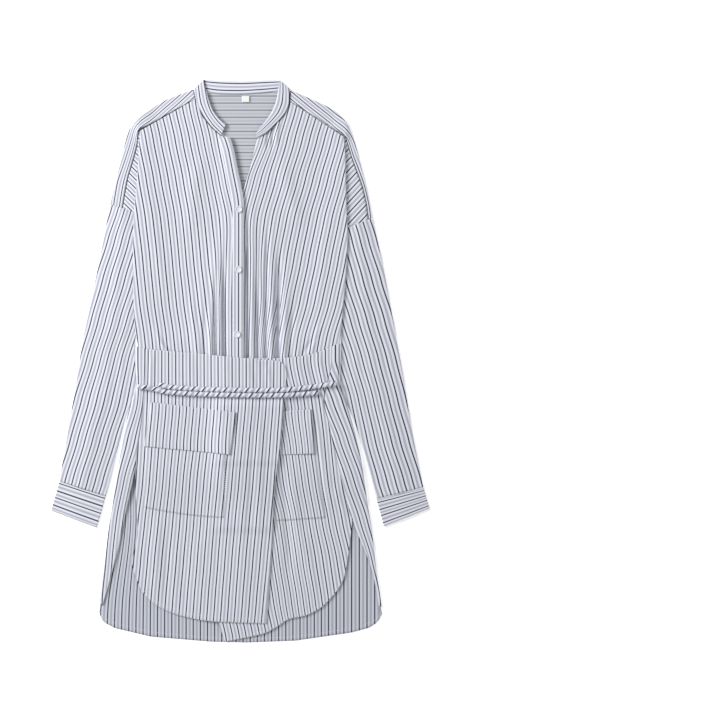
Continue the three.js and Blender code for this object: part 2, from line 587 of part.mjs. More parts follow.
// Skirt fronts: between a left and a right boundary, each a table of places from waist to hem
const OVERLAP_LEFT = [
  { x: -149.2, y: 20 }, { x: -150.2, y: -12 }, { x: -151.8, y: -42 }, { x: -153.5, y: -66 },
  { x: -155.5, y: -96 }, { x: -160, y: -128 }, { x: -164.8, y: -166 }, { x: -165.6, y: -207 },
  { x: -163.8, y: -240 }, { x: -162, y: -272 }, { x: -166, y: -296 }, { x: -171, y: -318 },
  { x: -169, y: -334 }, { x: -158.6, y: -361.6 },
];
const OVERLAP_EDGE = [
  { x: 73, y: -7 }, { x: 75.4, y: -20 }, { x: 73.4, y: -45 }, { x: 70.4, y: -64 },
  { x: 69, y: -90 }, { x: 67, y: -120 }, { x: 62.6, y: -155 }, { x: 58, y: -190 },
  { x: 55, y: -225 }, { x: 53.4, y: -262 }, { x: 52, y: -300 }, { x: 49.6, y: -340 },
  { x: 46.6, y: -380 }, { x: 43.7, y: -418.6 },
];
const OVERLAP_TOP = [
  { x: -149.2, y: 20 }, { x: -107, y: 16.2 }, { x: -40, y: 10.2 }, { x: 27, y: 3.7 },
  { x: 56.8, y: 1.6 }, { x: 67, y: -1.2 }, { x: 73, y: -7 },
];
const OVERLAP_HEM = [
  { x: -158.6, y: -361.6 }, { x: -149, y: -375 }, { x: -134.4, y: -388.2 }, { x: -114, y: -399 },
  { x: -91, y: -407 }, { x: -62, y: -413 }, { x: -30, y: -416 }, { x: 43.7, y: -418.6 },
];
const UNDERLAP_EDGE = [
  { x: -20.8, y: 6.6 }, { x: -22.5, y: -60 }, { x: -25.5, y: -130 }, { x: -28.5, y: -200 },
  { x: -31, y: -270 }, { x: -33, y: -340 }, { x: -35, y: -408 }, { x: -23.4, y: -447 },
];
const UNDERLAP_SIDE = [
  { x: 147.6, y: 24 }, { x: 146.1, y: -12 }, { x: 138, y: -40 }, { x: 134.4, y: -66 },
  { x: 142.1, y: -96 }, { x: 149.1, y: -128 }, { x: 158.1, y: -166 }, { x: 167.1, y: -207 },
  { x: 175.4, y: -238 }, { x: 180, y: -254 }, { x: 177.3, y: -284 }, { x: 172.8, y: -318.4 },
  { x: 166.9, y: -346.6 },
];
const UNDERLAP_TOP = [
  { x: -20.8, y: 6.6 }, { x: 50, y: 5 }, { x: 84, y: 7 }, { x: 110, y: 10.4 },
  { x: 135, y: 18.4 }, { x: 147.6, y: 24 },
];
const UNDERLAP_HEM = [
  { x: -23.4, y: -447 }, { x: -9, y: -444.8 }, { x: 37.6, y: -435 }, { x: 60, y: -423.7 },
  { x: 79, y: -411.6 }, { x: 107, y: -405.4 }, { x: 132, y: -391.7 }, { x: 154.7, y: -367.4 },
  { x: 166.9, y: -346.6 },
];

// A place inside four boundary tables that meet at their corners
function insideFour(left, right, top, foot, s, t) {
  const l = rowAt(left, t);
  const r = rowAt(right, t);
  const a = rowAt(top, s);
  const b = rowAt(foot, s);
  const corner = (key) => mix(mix(left[0][key], right[0][key], s),
    mix(left[left.length - 1][key], right[right.length - 1][key], s), t);
  const blend = (key) => mix(l[key], r[key], s) + mix(a[key], b[key], t) - corner(key);
  return { x: blend('x'), y: blend('y') };
}
addMesh('skirt_front_underlap', lyingSheet(18, 11, (s, t) => (
  insideFour(UNDERLAP_EDGE, UNDERLAP_SIDE, UNDERLAP_TOP, UNDERLAP_HEM, s, t)
), underlapHeight), COLOURS.cloth);
addMesh('skirt_front_overlap', lyingSheet(20, 14, (s, t) => (
  insideFour(OVERLAP_LEFT, OVERLAP_EDGE, OVERLAP_TOP, OVERLAP_HEM, s, t)
), overlapHeight), COLOURS.cloth);

// Patch pockets and flaps, each between four corners on the front that carries it
const PATCHES = [
  { name: 'pocket_right', on: overlapHeight, layers: 1.4, bow: 3, corners: [
    [-148, -66], [-18, -78], [-25.1, -250], [-151.4, -233.6]] },
  { name: 'flap_right', on: overlapHeight, layers: 2.55, bow: 0, corners: [
    [-140.8, -65], [-3.8, -81], [-13.6, -148.3], [-152, -135.7]] },
  { name: 'pocket_left', on: underlapHeight, layers: 1.25, bow: 1, corners: [
    [-4.8, -82], [118.4, -76], [138, -250], [6.4, -257]] },
  { name: 'flap_left', on: underlapHeight, layers: 2.3, bow: 0, corners: [
    [-14, -84], [117.8, -76.2], [123.2, -148], [-14, -152]] },
];
for (const { name, on, layers, bow, corners } of PATCHES) {
  const [a, b, c, d] = corners;
  const geometry = lyingSheet(5, 9, (s, t) => ({
    x: mix(mix(a[0], b[0], s), mix(d[0], c[0], s), t),
    y: mix(mix(a[1], b[1], s), mix(d[1], c[1], s), t) - bow * t * 4 * s * (1 - s),
  }), (x, y) => on(x, y) + layers * LAYER);
  addMesh(name, geometry, COLOURS.cloth);
}

// Belt: two twisted ropes of the same cloth side by side across the waist
const BELT_LOWER = [
  [-160, -43], [-140, -45.5], [-115, -50.2], [-62, -51.9], [-14, -53.2], [34, -54], [76, -53.4],
  [102, -51.8], [127, -49.8],
];
const BELT_UPPER = [
  [-126, -39.4], [-110, -41.9], [-62, -44], [-14, -45.2], [34, -45.9], [76, -45], [102, -42.4],
  [122, -39.6], [146, -36.3], [156, -35],
];
const beltHeight = (x, y) => {
  const onTop = mix(overlapHeight(Math.min(x, 70), y), underlapHeight(x, y), smooth(72, 100, x));
  return onTop + REST + 1.2 + BELT_RADIUS + BELT_LOBE;
};

function ropeGeometry(route) {
  const curve = new THREE.CatmullRomCurve3(route.map(([x, y]) => point(x, y, beltHeight(x, y))));
  const sides = 8;
  const steps = Math.round(curve.getLength() / 7);
  const frames = range(steps).map((t) => curve.getPointAt(t));
  const grid = frames.map((centre, k) => {
    const twist = (curve.getLength() * k * 2 * Math.PI) / (steps * BELT_PITCH);
    const along = curve.getTangentAt(k / steps);
    const side = point(-along.y, along.x, 0).normalize();
    const over = along.clone().cross(side);
    return range(sides).map((u) => {
      const angle = -u * 2 * Math.PI;
      const radius = BELT_RADIUS + BELT_LOBE * Math.cos(2 * (angle - twist));
      return centre.clone().addScaledVector(side, radius * Math.cos(angle))
        .addScaledVector(over, radius * Math.sin(angle));
    });
  });
  return closedTube(grid, sides);
}

// A solid from rings of points, closed by a fan at each end
function closedTube(grid, sides) {
  const position = [];
  const index = [];
  grid.forEach((ring) => ring.slice(0, sides).forEach((p) => position.push(p.x, p.y, p.z)));
  for (let i = 0; i + 1 < grid.length; i += 1) {
    for (let j = 0; j < sides; j += 1) {
      const next = (j + 1) % sides;
      const [a, b, c, d] = [i * sides + j, i * sides + next, (i + 1) * sides + next,
        (i + 1) * sides + j];
      index.push(a, b, c, a, c, d);
    }
  }
  const last = (grid.length - 1) * sides;
  for (let j = 1; j + 1 < sides; j += 1) {
    index.push(0, j + 1, j, last, last + j, last + j + 1);
  }
  const geometry = new THREE.BufferGeometry();
  geometry.setAttribute('position', new THREE.Float32BufferAttribute(position, 3));
  geometry.setIndex(index);
  return facingOut(geometry);
}
addMesh('belt_lower', ropeGeometry(BELT_LOWER), COLOURS.cloth);
addMesh('belt_upper', ropeGeometry(BELT_UPPER), COLOURS.cloth);

// Buttons on the placket: a rimmed disc turned about its own axis
const BUTTONS = [{ x: -0.6, y: 243 }, { x: -1.3, y: 146.7 }, { x: -1.5, y: 41.6 }];
const BUTTON_PROFILE = [
  [0, 0], [0.82, 0], [1, 0.35], [1, 0.75], [0.86, 1], [0.66, 0.72], [0, 0.72],
];
BUTTONS.forEach(({ x, y }, k) => {
  const profile = BUTTON_PROFILE.map(([r, z]) => (
    new THREE.Vector2(r * BUTTON_RADIUS, z * BUTTON_THICKNESS)));
  const geometry = new THREE.LatheGeometry(profile, 16);
  geometry.rotateX(Math.PI / 2);
  const mesh = addMesh(`button_${k + 1}`, geometry, COLOURS.button);
  const highest = Math.max(...[-5, 0, 5].map((dx) => placketHeight(x + dx, y)));
  mesh.position.set(x, y, highest + REST + 0.3);
});

export default dress;
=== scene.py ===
"""Looks of a striped shirt dress that lies flat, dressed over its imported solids.

Lengths in the tables are millimetres in the frame of the laid garment: +Y towards the neck,
+Z up from the floor. "Right" and "left" in names are the wearer's.
"""

import logging
import math
from dataclasses import dataclass, field
from enum import Enum
from typing import Callable, NamedTuple, Sequence

import bmesh
import bpy
import numpy as np
from mathutils import Matrix, Vector


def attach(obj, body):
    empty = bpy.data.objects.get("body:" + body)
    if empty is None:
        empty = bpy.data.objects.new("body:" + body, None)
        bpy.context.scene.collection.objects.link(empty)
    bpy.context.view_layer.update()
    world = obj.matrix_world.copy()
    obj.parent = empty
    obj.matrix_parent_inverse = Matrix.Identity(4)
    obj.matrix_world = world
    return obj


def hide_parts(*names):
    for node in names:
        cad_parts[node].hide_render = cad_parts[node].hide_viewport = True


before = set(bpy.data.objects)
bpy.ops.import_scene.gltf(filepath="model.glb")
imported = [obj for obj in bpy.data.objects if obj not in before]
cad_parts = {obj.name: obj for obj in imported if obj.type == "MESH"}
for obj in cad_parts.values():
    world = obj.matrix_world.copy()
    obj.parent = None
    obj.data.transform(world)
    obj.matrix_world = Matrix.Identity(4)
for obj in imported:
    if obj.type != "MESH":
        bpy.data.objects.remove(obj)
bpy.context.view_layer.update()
log = logging.getLogger("shirt_dress")

Array = np.ndarray
Height = Callable[[Array, Array], Array]

MM = 0.001
CENTRE = (1.45, 1.56)        # middle of the laid outline, which is the frame's origin
SHELL = 0.4                  # thickness of the dressed cloth
PATCH_SHELL = 0.3            # the same for pockets and flaps
LAYER = 1.8                  # rise from one layer's middle to that of the next
REST = 0.6                   # middle of a layer that lies on the floor
FOLD_Z = 7.0                 # middle of the body's front where it folds over the sleeve
ARM_Z = 2.4                  # middle of the drop shoulder's upper layer
CHEST_Z = 3.4                # middle of the body's front on the chest
SKIRT_Z = 8.6                # middle of the skirt's front at the waist
HEM_Z = 3.4                  # the same near the skirt's hem
SHIRT_HEM_Y = -150.0         # hidden hem of the shirt, inside the skirt
SLEEVE_EDGE = 2.2            # height of a sleeve's middle layer at its two long edges
SLEEVE_CROWN = 4.4           # the same along its middle
REPEAT = 11.2                # width of one repeat of the stripe
GATHER_FULLNESS = 2.2        # how far the cloth stands up round the gathers
GATHER_DEPTH = 2.1           # strength of the fronts' creases
UNDERLAP_DEPTH = 1.1         # the same for the skirt's inner front
OVERLAP_DEPTH = 1.2          # the same for its outer front
YOKE_LINE_Y = 413.3          # a dark line of the yoke's back, inside the neck
YOKE_REPEAT = 11.3           # repeat of the stripe there
FOLD_DROP = 1.2              # how much lower the fold over the sleeve ends at the neck
PIXEL = 1.6                  # millimetres for one pixel of the 720 x 720 photograph
PHOTO_X0, PHOTO_Y0 = 239.0, 361.0   # the photograph's pixel at x = 0, y = 0 of the tables


# Numbers along tables

def mix(a: Array, b: Array, t: Array) -> Array:
    """Returns the value at the share t of the way from a to b."""
    return a + (b - a) * t


def smooth(a: float, b: float, v: Array) -> Array:
    """Returns a soft step from 0 at a to 1 at b."""
    t = np.clip((v - a) / (b - a), 0.0, 1.0)
    return t * t * (3.0 - 2.0 * t)


def plateau(a: float, b: float, c: float, d: float, v: Array) -> Array:
    """Returns 1 between b and c, falling softly to 0 at a and d."""
    return smooth(a, b, v) * (1.0 - smooth(c, d, v))


def smooth_curve(data: Array, t: Array) -> Array:
    """Reads evenly spaced rows of numbers at shares of their length, on smooth curves.

    Args:
        data: one row of numbers for each place.
        t: shares of the rows' length, from 0 to 1.

    Returns:
        The numbers at each share, along a last axis.
    """
    last = len(data) - 1
    place = np.clip(np.asarray(t, float), 0.0, 1.0) * last
    low = np.minimum(np.floor(place).astype(int), last - 1)
    f = (place - low)[..., None]
    p0, p1 = data[np.maximum(low - 1, 0)], data[low]
    p2, p3 = data[low + 1], data[np.minimum(low + 2, last)]
    m1, m2 = (p2 - p0) * 0.4, (p3 - p1) * 0.4
    return ((2 * f**3 - 3 * f**2 + 1) * p1 + (f**3 - 2 * f**2 + f) * m1
            + (3 * f**2 - 2 * f**3) * p2 + (f**3 - f**2) * m2)


def rows_at(table: Sequence[NamedTuple], t: Array) -> dict[str, Array]:
    """Reads every column of a table at shares of its length.

    Args:
        table: the rows, in order.
        t: shares of the table's length, from 0 to 1.

    Returns:
        One array for each column, of the shape of t.
    """
    curve = smooth_curve(np.array(table, float), t)
    return {name: curve[..., k] for k, name in enumerate(table[0]._fields)}


def across_down(columns: int, rows: int) -> tuple[Array, Array]:
    """Returns the shares across and down of every point of a grid."""
    s, t = np.meshgrid(np.linspace(0, 1, columns + 1), np.linspace(0, 1, rows + 1))
    return s, t


# Soft folds

class Crease(NamedTuple):
    """A soft ridge (or trough, with a height below 0) from one place to another."""

    x0: float
    y0: float
    x1: float
    y1: float
    width: float
    height: float


def creased(folds: Sequence[Crease], x: Array, y: Array) -> Array:
    """Adds up the soft folds of a table.

    Args:
        folds: the folds.
        x: places across.
        y: places along.

    Returns:
        The rise at each place, in millimetres.
    """
    rise = np.zeros_like(x)
    for c in folds:
        dx, dy = c.x1 - c.x0, c.y1 - c.y0
        length2 = dx * dx + dy * dy
        t = ((x - c.x0) * dx + (y - c.y0) * dy) / length2
        off = ((x - c.x0) * dy - (y - c.y0) * dx) / math.sqrt(length2)
        bend = 0.25 * c.width * np.sin(5.0 * t)
        taper = plateau(-0.05, 0.3, 0.7, 1.05, t)
        rise += c.height * np.exp(-(((off - bend) / c.width) ** 2)) * taper
    return rise


# Heights of the stacked layers

class Gather(NamedTuple):
    """A gathered ridge of the body's front beside the placket."""

    x: float
    width: float
    height: float
    top: float
    foot: float


GATHERS = (
    Gather(-36, 15, 2.3, 200, 0), Gather(-60, 12, 1.2, 150, 10), Gather(19, 13, 2.1, 250, 0),
    Gather(46, 15, 2.4, 210, 0), Gather(78, 16, 1.2, 150, 10),
)
FRONT_FOLDS = (
    Crease(-38, 150, -37, -80, 3.4, -3.0), Crease(-24, 180, -22, -80, 3.4, -2.8),
    Crease(-31, 130, -30, -80, 2.4, 0.9), Crease(-46, 100, -44, -80, 3.2, 1.1),
    Crease(-56, 90, -51, -80, 3.6, -1.6), Crease(14, 250, 12, -80, 3.2, -2.8),
    Crease(30, 130, 28, -80, 2.8, -2.4), Crease(22, 190, 21, -80, 2.6, 0.8),
    Crease(46, 225, 41, -80, 3.6, -3.0), Crease(66, 180, 58, -80, 3.8, -3.0),
    Crease(55, 150, 50, -80, 3.0, 1.0), Crease(76, 120, 68, -80, 3.6, 1.0),
    Crease(88, 110, 78, -80, 3.8, -1.2), Crease(-76, 120, -62, -80, 5, 0.9),
    Crease(-150, 300, -120, 90, 9, 0.9), Crease(150, 260, 122, 60, 9, 0.9),
    Crease(-60, 330, -84, 200, 12, 0.8), Crease(70, 330, 92, 210, 12, 0.8),
    Crease(-138, 60, -112, 4, 4, 1.4), Crease(-126, 40, -100, 2, 3.5, -1.3),
    Crease(132, 62, 112, 10, 4, 1.4), Crease(124, 40, 96, 6, 3.5, -1.2),
    Crease(56, 386, 50, 336, 1.8, -1.5), Crease(47, 376, 44, 336, 1.8, -1.4),
    Crease(64, 392, 58, 342, 1.8, 1.0),
)


def gathers(x: Array, y: Array) -> Array:
    """Works out the rise of the gathered front, with its finer folds.

    Args:
        x: places across.
        y: places along.

    Returns:
        The rise at each place, in millimetres.
    """
    rise = np.zeros_like(x)
    for g in GATHERS:
        across = np.maximum(0.0, 1.0 - np.abs(x - g.x) / g.width)
        along = plateau(-60, g.foot + 20, g.top - 60, g.top + 30, y)
        rise += (g.height * across**2 * (3 - 2 * across)
                 * (0.35 + 0.65 * smooth(-40, 40, y)) * along)
    full = plateau(-72, -34, 34, 84, x) * plateau(-60, 0, 90, 210, y)
    return rise + GATHER_FULLNESS * full + GATHER_DEPTH * creased(FRONT_FOLDS, x, y)


def inside_skirt(y: Array) -> Array:
    """Returns 1 where the shirt is inside the skirt, 0 above it."""
    return 1.0 - smooth(30, 62, y)


def back_height(x: Array, y: Array) -> Array:
    """Returns the height of the shirt's back."""
    return REST + LAYER * inside_skirt(y) + 0 * x


def under_front(x: Array, y: Array) -> Array:
    """Returns the height of the wearer's left front, which lies under."""
    return CHEST_Z + LAYER * inside_skirt(y) + gathers(x, y)


def over_front(x: Array, y: Array) -> Array:
    """Returns the height of the wearer's right front, which carries the placket."""
    return under_front(x, y) + 1.15 * LAYER * smooth(-38, -19, x)


def placket_height(x: Array, y: Array) -> Array:
    """Returns the height of the placket."""
    return over_front(x, y) + 0.8 * LAYER


OVERLAP_FOLDS = (
    Crease(-138, 18, -144, -60, 3.2, 1.3), Crease(-145, 10, -147, -70, 2.4, -1.4),
    Crease(-128, -230, -138, -395, 9, 1.2), Crease(-112, -262, -118, -400, 7, -0.9),
    Crease(-60, -262, -68, -412, 12, 0.9), Crease(-30, -180, -40, -416, 8, -0.7),
    Crease(10, -180, 2, -416, 10, 1.0), Crease(-86, -300, -92, -408, 8, -0.8),
    Crease(38, -60, 26, -330, 6, 1.0), Crease(26, -90, 16, -300, 5, -0.9),
    Crease(46, -4, 50, -46, 4, 1.2), Crease(22, 4, 28, -44, 4, -0.9),
    Crease(-20, 8, -16, -40, 5, 0.7), Crease(-78, 12, -74, -44, 6, 0.6),
)
UNDERLAP_FOLDS = (
    Crease(126, 16, 138, -46, 4, 1.5), Crease(110, 10, 124, -44, 3.5, -1.4),
    Crease(92, 8, 102, -44, 4, 0.9), Crease(70, -150, 82, -350, 6, -2.2),
    Crease(86, -170, 100, -330, 6, 1.2), Crease(104, -262, 120, -390, 8, 1.2),
    Crease(126, -90, 146, -250, 4, 1.3), Crease(120, -100, 138, -250, 3.5, -1.3),
    Crease(72, -300, 92, -410, 7, -1.0), Crease(152, -200, 172, -250, 5, 1.4),
    Crease(20, -420, 60, -424, 6, 0.4),
)


def skirt_height(y: Array) -> Array:
    """Returns the height of the skirt's front without what it covers."""
    return mix(HEM_Z, SKIRT_Z, smooth(-250, -168, y))


def over_placket(x: Array, y: Array) -> Array:
    """Returns the rise of the skirt's fronts over the hidden end of the placket."""
    return 1.3 * LAYER * plateau(-48, -18, 14, 44, x) * smooth(-225, -160, y)


def underlap_height(x: Array, y: Array) -> Array:
    """Returns the height of the skirt's inner front."""
    return (skirt_height(y) + over_placket(x, y)
            + UNDERLAP_DEPTH * creased(UNDERLAP_FOLDS, x, y))


def overlap_height(x: Array, y: Array) -> Array:
    """Works out the height of the outer front, over the other pocket and flap.

    Args:
        x: places across.
        y: places along.

    Returns:
        The height at each place, in millimetres.
    """
    across = smooth(-54, -26, x)
    pocket = plateau(-278, -262, -72, -54, y)
    flap = plateau(-170, -156, -72, -54, y)
    lift = 1.1 * smooth(-70, -34, x) + across * 1.25 * (pocket + flap)
    return (skirt_height(y) + over_placket(x, y) + LAYER * lift
            + OVERLAP_DEPTH * creased(OVERLAP_FOLDS, x, y))


# Stripe fields

@dataclass(frozen=True)
class StripeField:
    """Where the dark lines of a panel run, at evenly spaced levels of the photograph.

    Attributes:
        lines: numbers of the dark lines that the levels place.
        top: pixel row of the first level.
        step: pixel rows from one level to the next.
        levels: for each level the pixel columns of those lines.
    """

    lines: tuple[float, ...]
    top: float
    step: float
    levels: tuple[tuple[float, ...], ...]

    def count(self, x: Array, y: Array) -> Array:
        """Counts how many repeats of the stripe each place lies from line 0.

        Args:
            x: places across.
            y: places along.

        Returns:
            The repeats at each place, which are whole numbers on the dark lines.
        """
        row = PHOTO_Y0 - y / PIXEL
        column = PHOTO_X0 + x / PIXEL
        share = (row - self.top) / (self.step * (len(self.levels) - 1))
        at = smooth_curve(np.array(self.levels, float), share)
        out = np.zeros_like(x)
        last = len(self.lines) - 2
        for k in range(last + 1):
            part = (column - at[..., k]) / (at[..., k + 1] - at[..., k])
            inside = (part >= 0) | (k == 0)
            value = self.lines[k] + (self.lines[k + 1] - self.lines[k]) * part
            out = np.where(inside & ((part <= 1) | (k == last)), value, out)
        return out


RIGHT_FRONT_STRIPES = StripeField((0, 1, 2, 3, 4, 5, 6, 8, 10, 12, 16), 100, 40, (
    (215.5, 208.5, 201.5, 195, 188.4, 181.3, 174.2, 159.6, 145.2, 130.7, 101.7),
    (224, 217.1, 210.3, 203.4, 196.6, 189.4, 182.2, 167.6, 153.2, 138.7, 109.5),
    (231.2, 224.9, 218.6, 211.7, 204.9, 197.5, 190.2, 175.6, 160.8, 146.3, 117),
    (239.5, 232.9, 226.4, 219.2, 211.6, 204.1, 196.8, 182.2, 167.9, 153, 123),
    (240.2, 232.3, 225.9, 220.8, 215.7, 208, 200.6, 185.9, 172, 157.3, 128),
    (240.6, 231.6, 225.2, 218.7, 216.2, 213, 205.2, 190.4, 175.8, 161.1, 132),
    (240.8, 231.6, 225.5, 219.2, 216.4, 212.4, 210.3, 195.8, 181.2, 166.5, 137.6),
    (241, 231.8, 226.3, 219.8, 217, 212.6, 211, 199, 185, 170, 141),
))
LEFT_FRONT_STRIPES = StripeField((-1, 0, 1, 2, 3, 4, 5, 6, 8, 10, 12, 16), 100, 40, (
    (274, 280, 284.5, 289.5, 297, 304.2, 311.8, 319.3, 335, 350, 365, 395),
    (262, 268.2, 273.5, 279.2, 286.6, 294.2, 301.6, 309, 323.8, 338.4, 352.9, 382),
    (247.5, 253.6, 260.4, 267.6, 275.1, 282.6, 289.9, 297.2, 312.2, 327.2, 341.9, 371),
    (238.5, 244.5, 250.4, 256.9, 264.2, 271.6, 279, 286.1, 301.2, 316.3, 331.2, 361),
    (239, 244.6, 250.4, 256.0, 260.8, 267.0, 272.6, 278.9, 293.2, 308.2, 323.1, 352.5),
    (239.5, 244.4, 249.9, 255.4, 260.9, 265.2, 270.2, 276.6, 285.2, 299.6, 314.6, 344),
    (240, 243.8, 248.8, 254.3, 257.5, 261.2, 264.8, 268.6, 278.3, 290, 304, 333),
    (240, 243.6, 248.4, 253.5, 256.2, 258.5, 261.8, 265, 274, 286, 299, 326),
))
OVERLAP_STRIPES = StripeField((0, 4, 8, 12, 16, 20), 360, 40, (
    (280.5, 253.2, 225.1, 197, 168.6, 141.5),
    (279.8, 252.8, 225, 197, 168.5, 140.3),
    (277, 249.4, 222.1, 194.3, 166.2, 138.5),
    (274, 246, 218, 189.8, 163.0, 136),
    (270.5, 241.9, 214, 186.7, 158.3, 131),
    (266.8, 238.3, 210.9, 183.2, 154.2, 126.5),
    (263, 235.3, 207.7, 179.7, 150.7, 122.5),
    (259.5, 232.5, 205, 176.7, 147.5, 119),
))
UNDERLAP_STRIPES = StripeField((-12, -4, 0, 3, 6, 8, 10, 14), 360, 40, (
    (170, 226, 253.5, 275.5, 296.2, 310.3, 325, 352),
    (182, 238, 264, 283.6, 303.7, 318.8, 332, 358),
    (190, 246, 272, 290, 309, 323.9, 336.5, 362),
    (196, 252, 276.5, 295.2, 314.5, 327.6, 341, 367),
    (205, 261, 285, 302, 321.4, 334.6, 349, 378),
    (211, 267, 290.5, 308.2, 329.6, 343.4, 357.5, 386),
    (217, 273, 296.8, 314.7, 335, 350.5, 366, 396),
    (226, 280, 302, 320, 341, 357, 373, 404),
))
RIGHT_STRIP_STRIPES = StripeField((0, 1, 2, 3), 360, 40, (
    (131, 138, 145, 152), (131, 138, 143, 148), (120.2, 127.4, 134.9, 142),
    (111, 117.8, 124, 130.5), (103, 109.8, 116.1, 122.5), (98.5, 105.8, 111.8, 118.5),
    (95, 102, 108.5, 115),
))
LEFT_STRIP_STRIPES = StripeField((1, 2, 3, 4), 360, 40, (
    (303, 310, 317, 326), (317, 324.3, 332.2, 341.7), (332.5, 339.5, 347.5, 355),
    (346, 353.6, 361.5, 369), (359.5, 366.8, 374.5, 382), (371.6, 377.5, 385, 392),
    (380, 387, 394, 401),
))
SKIRT_BACK_STRIPES = StripeField((0, 5, 12, 31, 37), 520, 90, (
    (120, 146, 192.8, 328, 374.2), (107.4, 142.8, 192.8, 328, 374.2),
    (107.4, 142.8, 192.8, 328, 374.2),
))
LEFT_FLAP_STRIPES = StripeField((-8, 0, 3, 5), 410, 43, (
    (233, 284.8, 304, 317), (246, 290.7, 308.2, 320),
))
RIGHT_FLAP_STRIPES = StripeField((0, 6, 12), 405, 40, (
    (152.5, 193.6, 235.6), (149.2, 190.5, 233.0),
))
RIGHT_SLEEVE_STRIPES = StripeField((-4, 0, 4), 200, 40, (
    (113, 139.5, 166), (100.5, 128.7, 158), (87.5, 117, 146.5), (76.5, 105.3, 133.5),
    (65, 93.2, 121), (51.5, 81.2, 111.8), (39.5, 69.9, 99.8), (28, 57.5, 87.6),
    (16, 46, 76),
))
LEFT_SLEEVE_STRIPES = StripeField((0, 2, 4, 6, 8), 200, 40, (
    (309, 325, 341, 357, 373), (319, 335.2, 351.5, 368, 384.5),
    (329, 345.5, 362.6, 380.5, 398), (342, 358, 375, 393, 411),
    (354.4, 369.8, 386.7, 404.5, 422), (365.6, 380.4, 397.2, 414.5, 432),
    (374.8, 390.7, 408.3, 426, 444), (386.3, 403.3, 420.5, 438, 456),
    (398, 415, 432, 449.5, 467),
))


# Materials

class Face(Enum):
    """Which side of the cloth a material shows; the wrong side and the yoke's inside also carry
    painted shade.
    """

    RIGHT = "right"
    WRONG_SHADED = "wrong"
    YOKE_INSIDE_SHADED = "yoke_inside_shaded"


def linear(colour: str) -> tuple[float, float, float, float]:
    """Turns an sRGB colour to linear.

    Args:
        colour: an sRGB hex colour such as "#eef1fa".

    Returns:
        The linear RGBA.
    """
    parts = [int(colour[k:k + 2], 16) / 255 for k in (1, 3, 5)]
    low = [c / 12.92 if c <= 0.04045 else ((c + 0.055) / 1.055) ** 2.4 for c in parts]
    return (low[0], low[1], low[2], 1.0)


def add_node(tree: bpy.types.NodeTree, kind: str, settings: dict | None = None,
             links: dict | None = None) -> bpy.types.Node:
    """Adds a shader node with its settings and its inputs.

    Args:
        tree: the material's node tree.
        kind: the node's type name.
        settings: values of the node's own properties.
        links: for each input, an output socket to link or a plain value.

    Returns:
        The new node.
    """
    node = tree.nodes.new(kind)
    for name, value in (settings or {}).items():
        setattr(node, name, value)
    for name, value in (links or {}).items():
        if isinstance(value, bpy.types.NodeSocket):
            tree.links.new(value, node.inputs[name])
        else:
            node.inputs[name].default_value = value
    return node


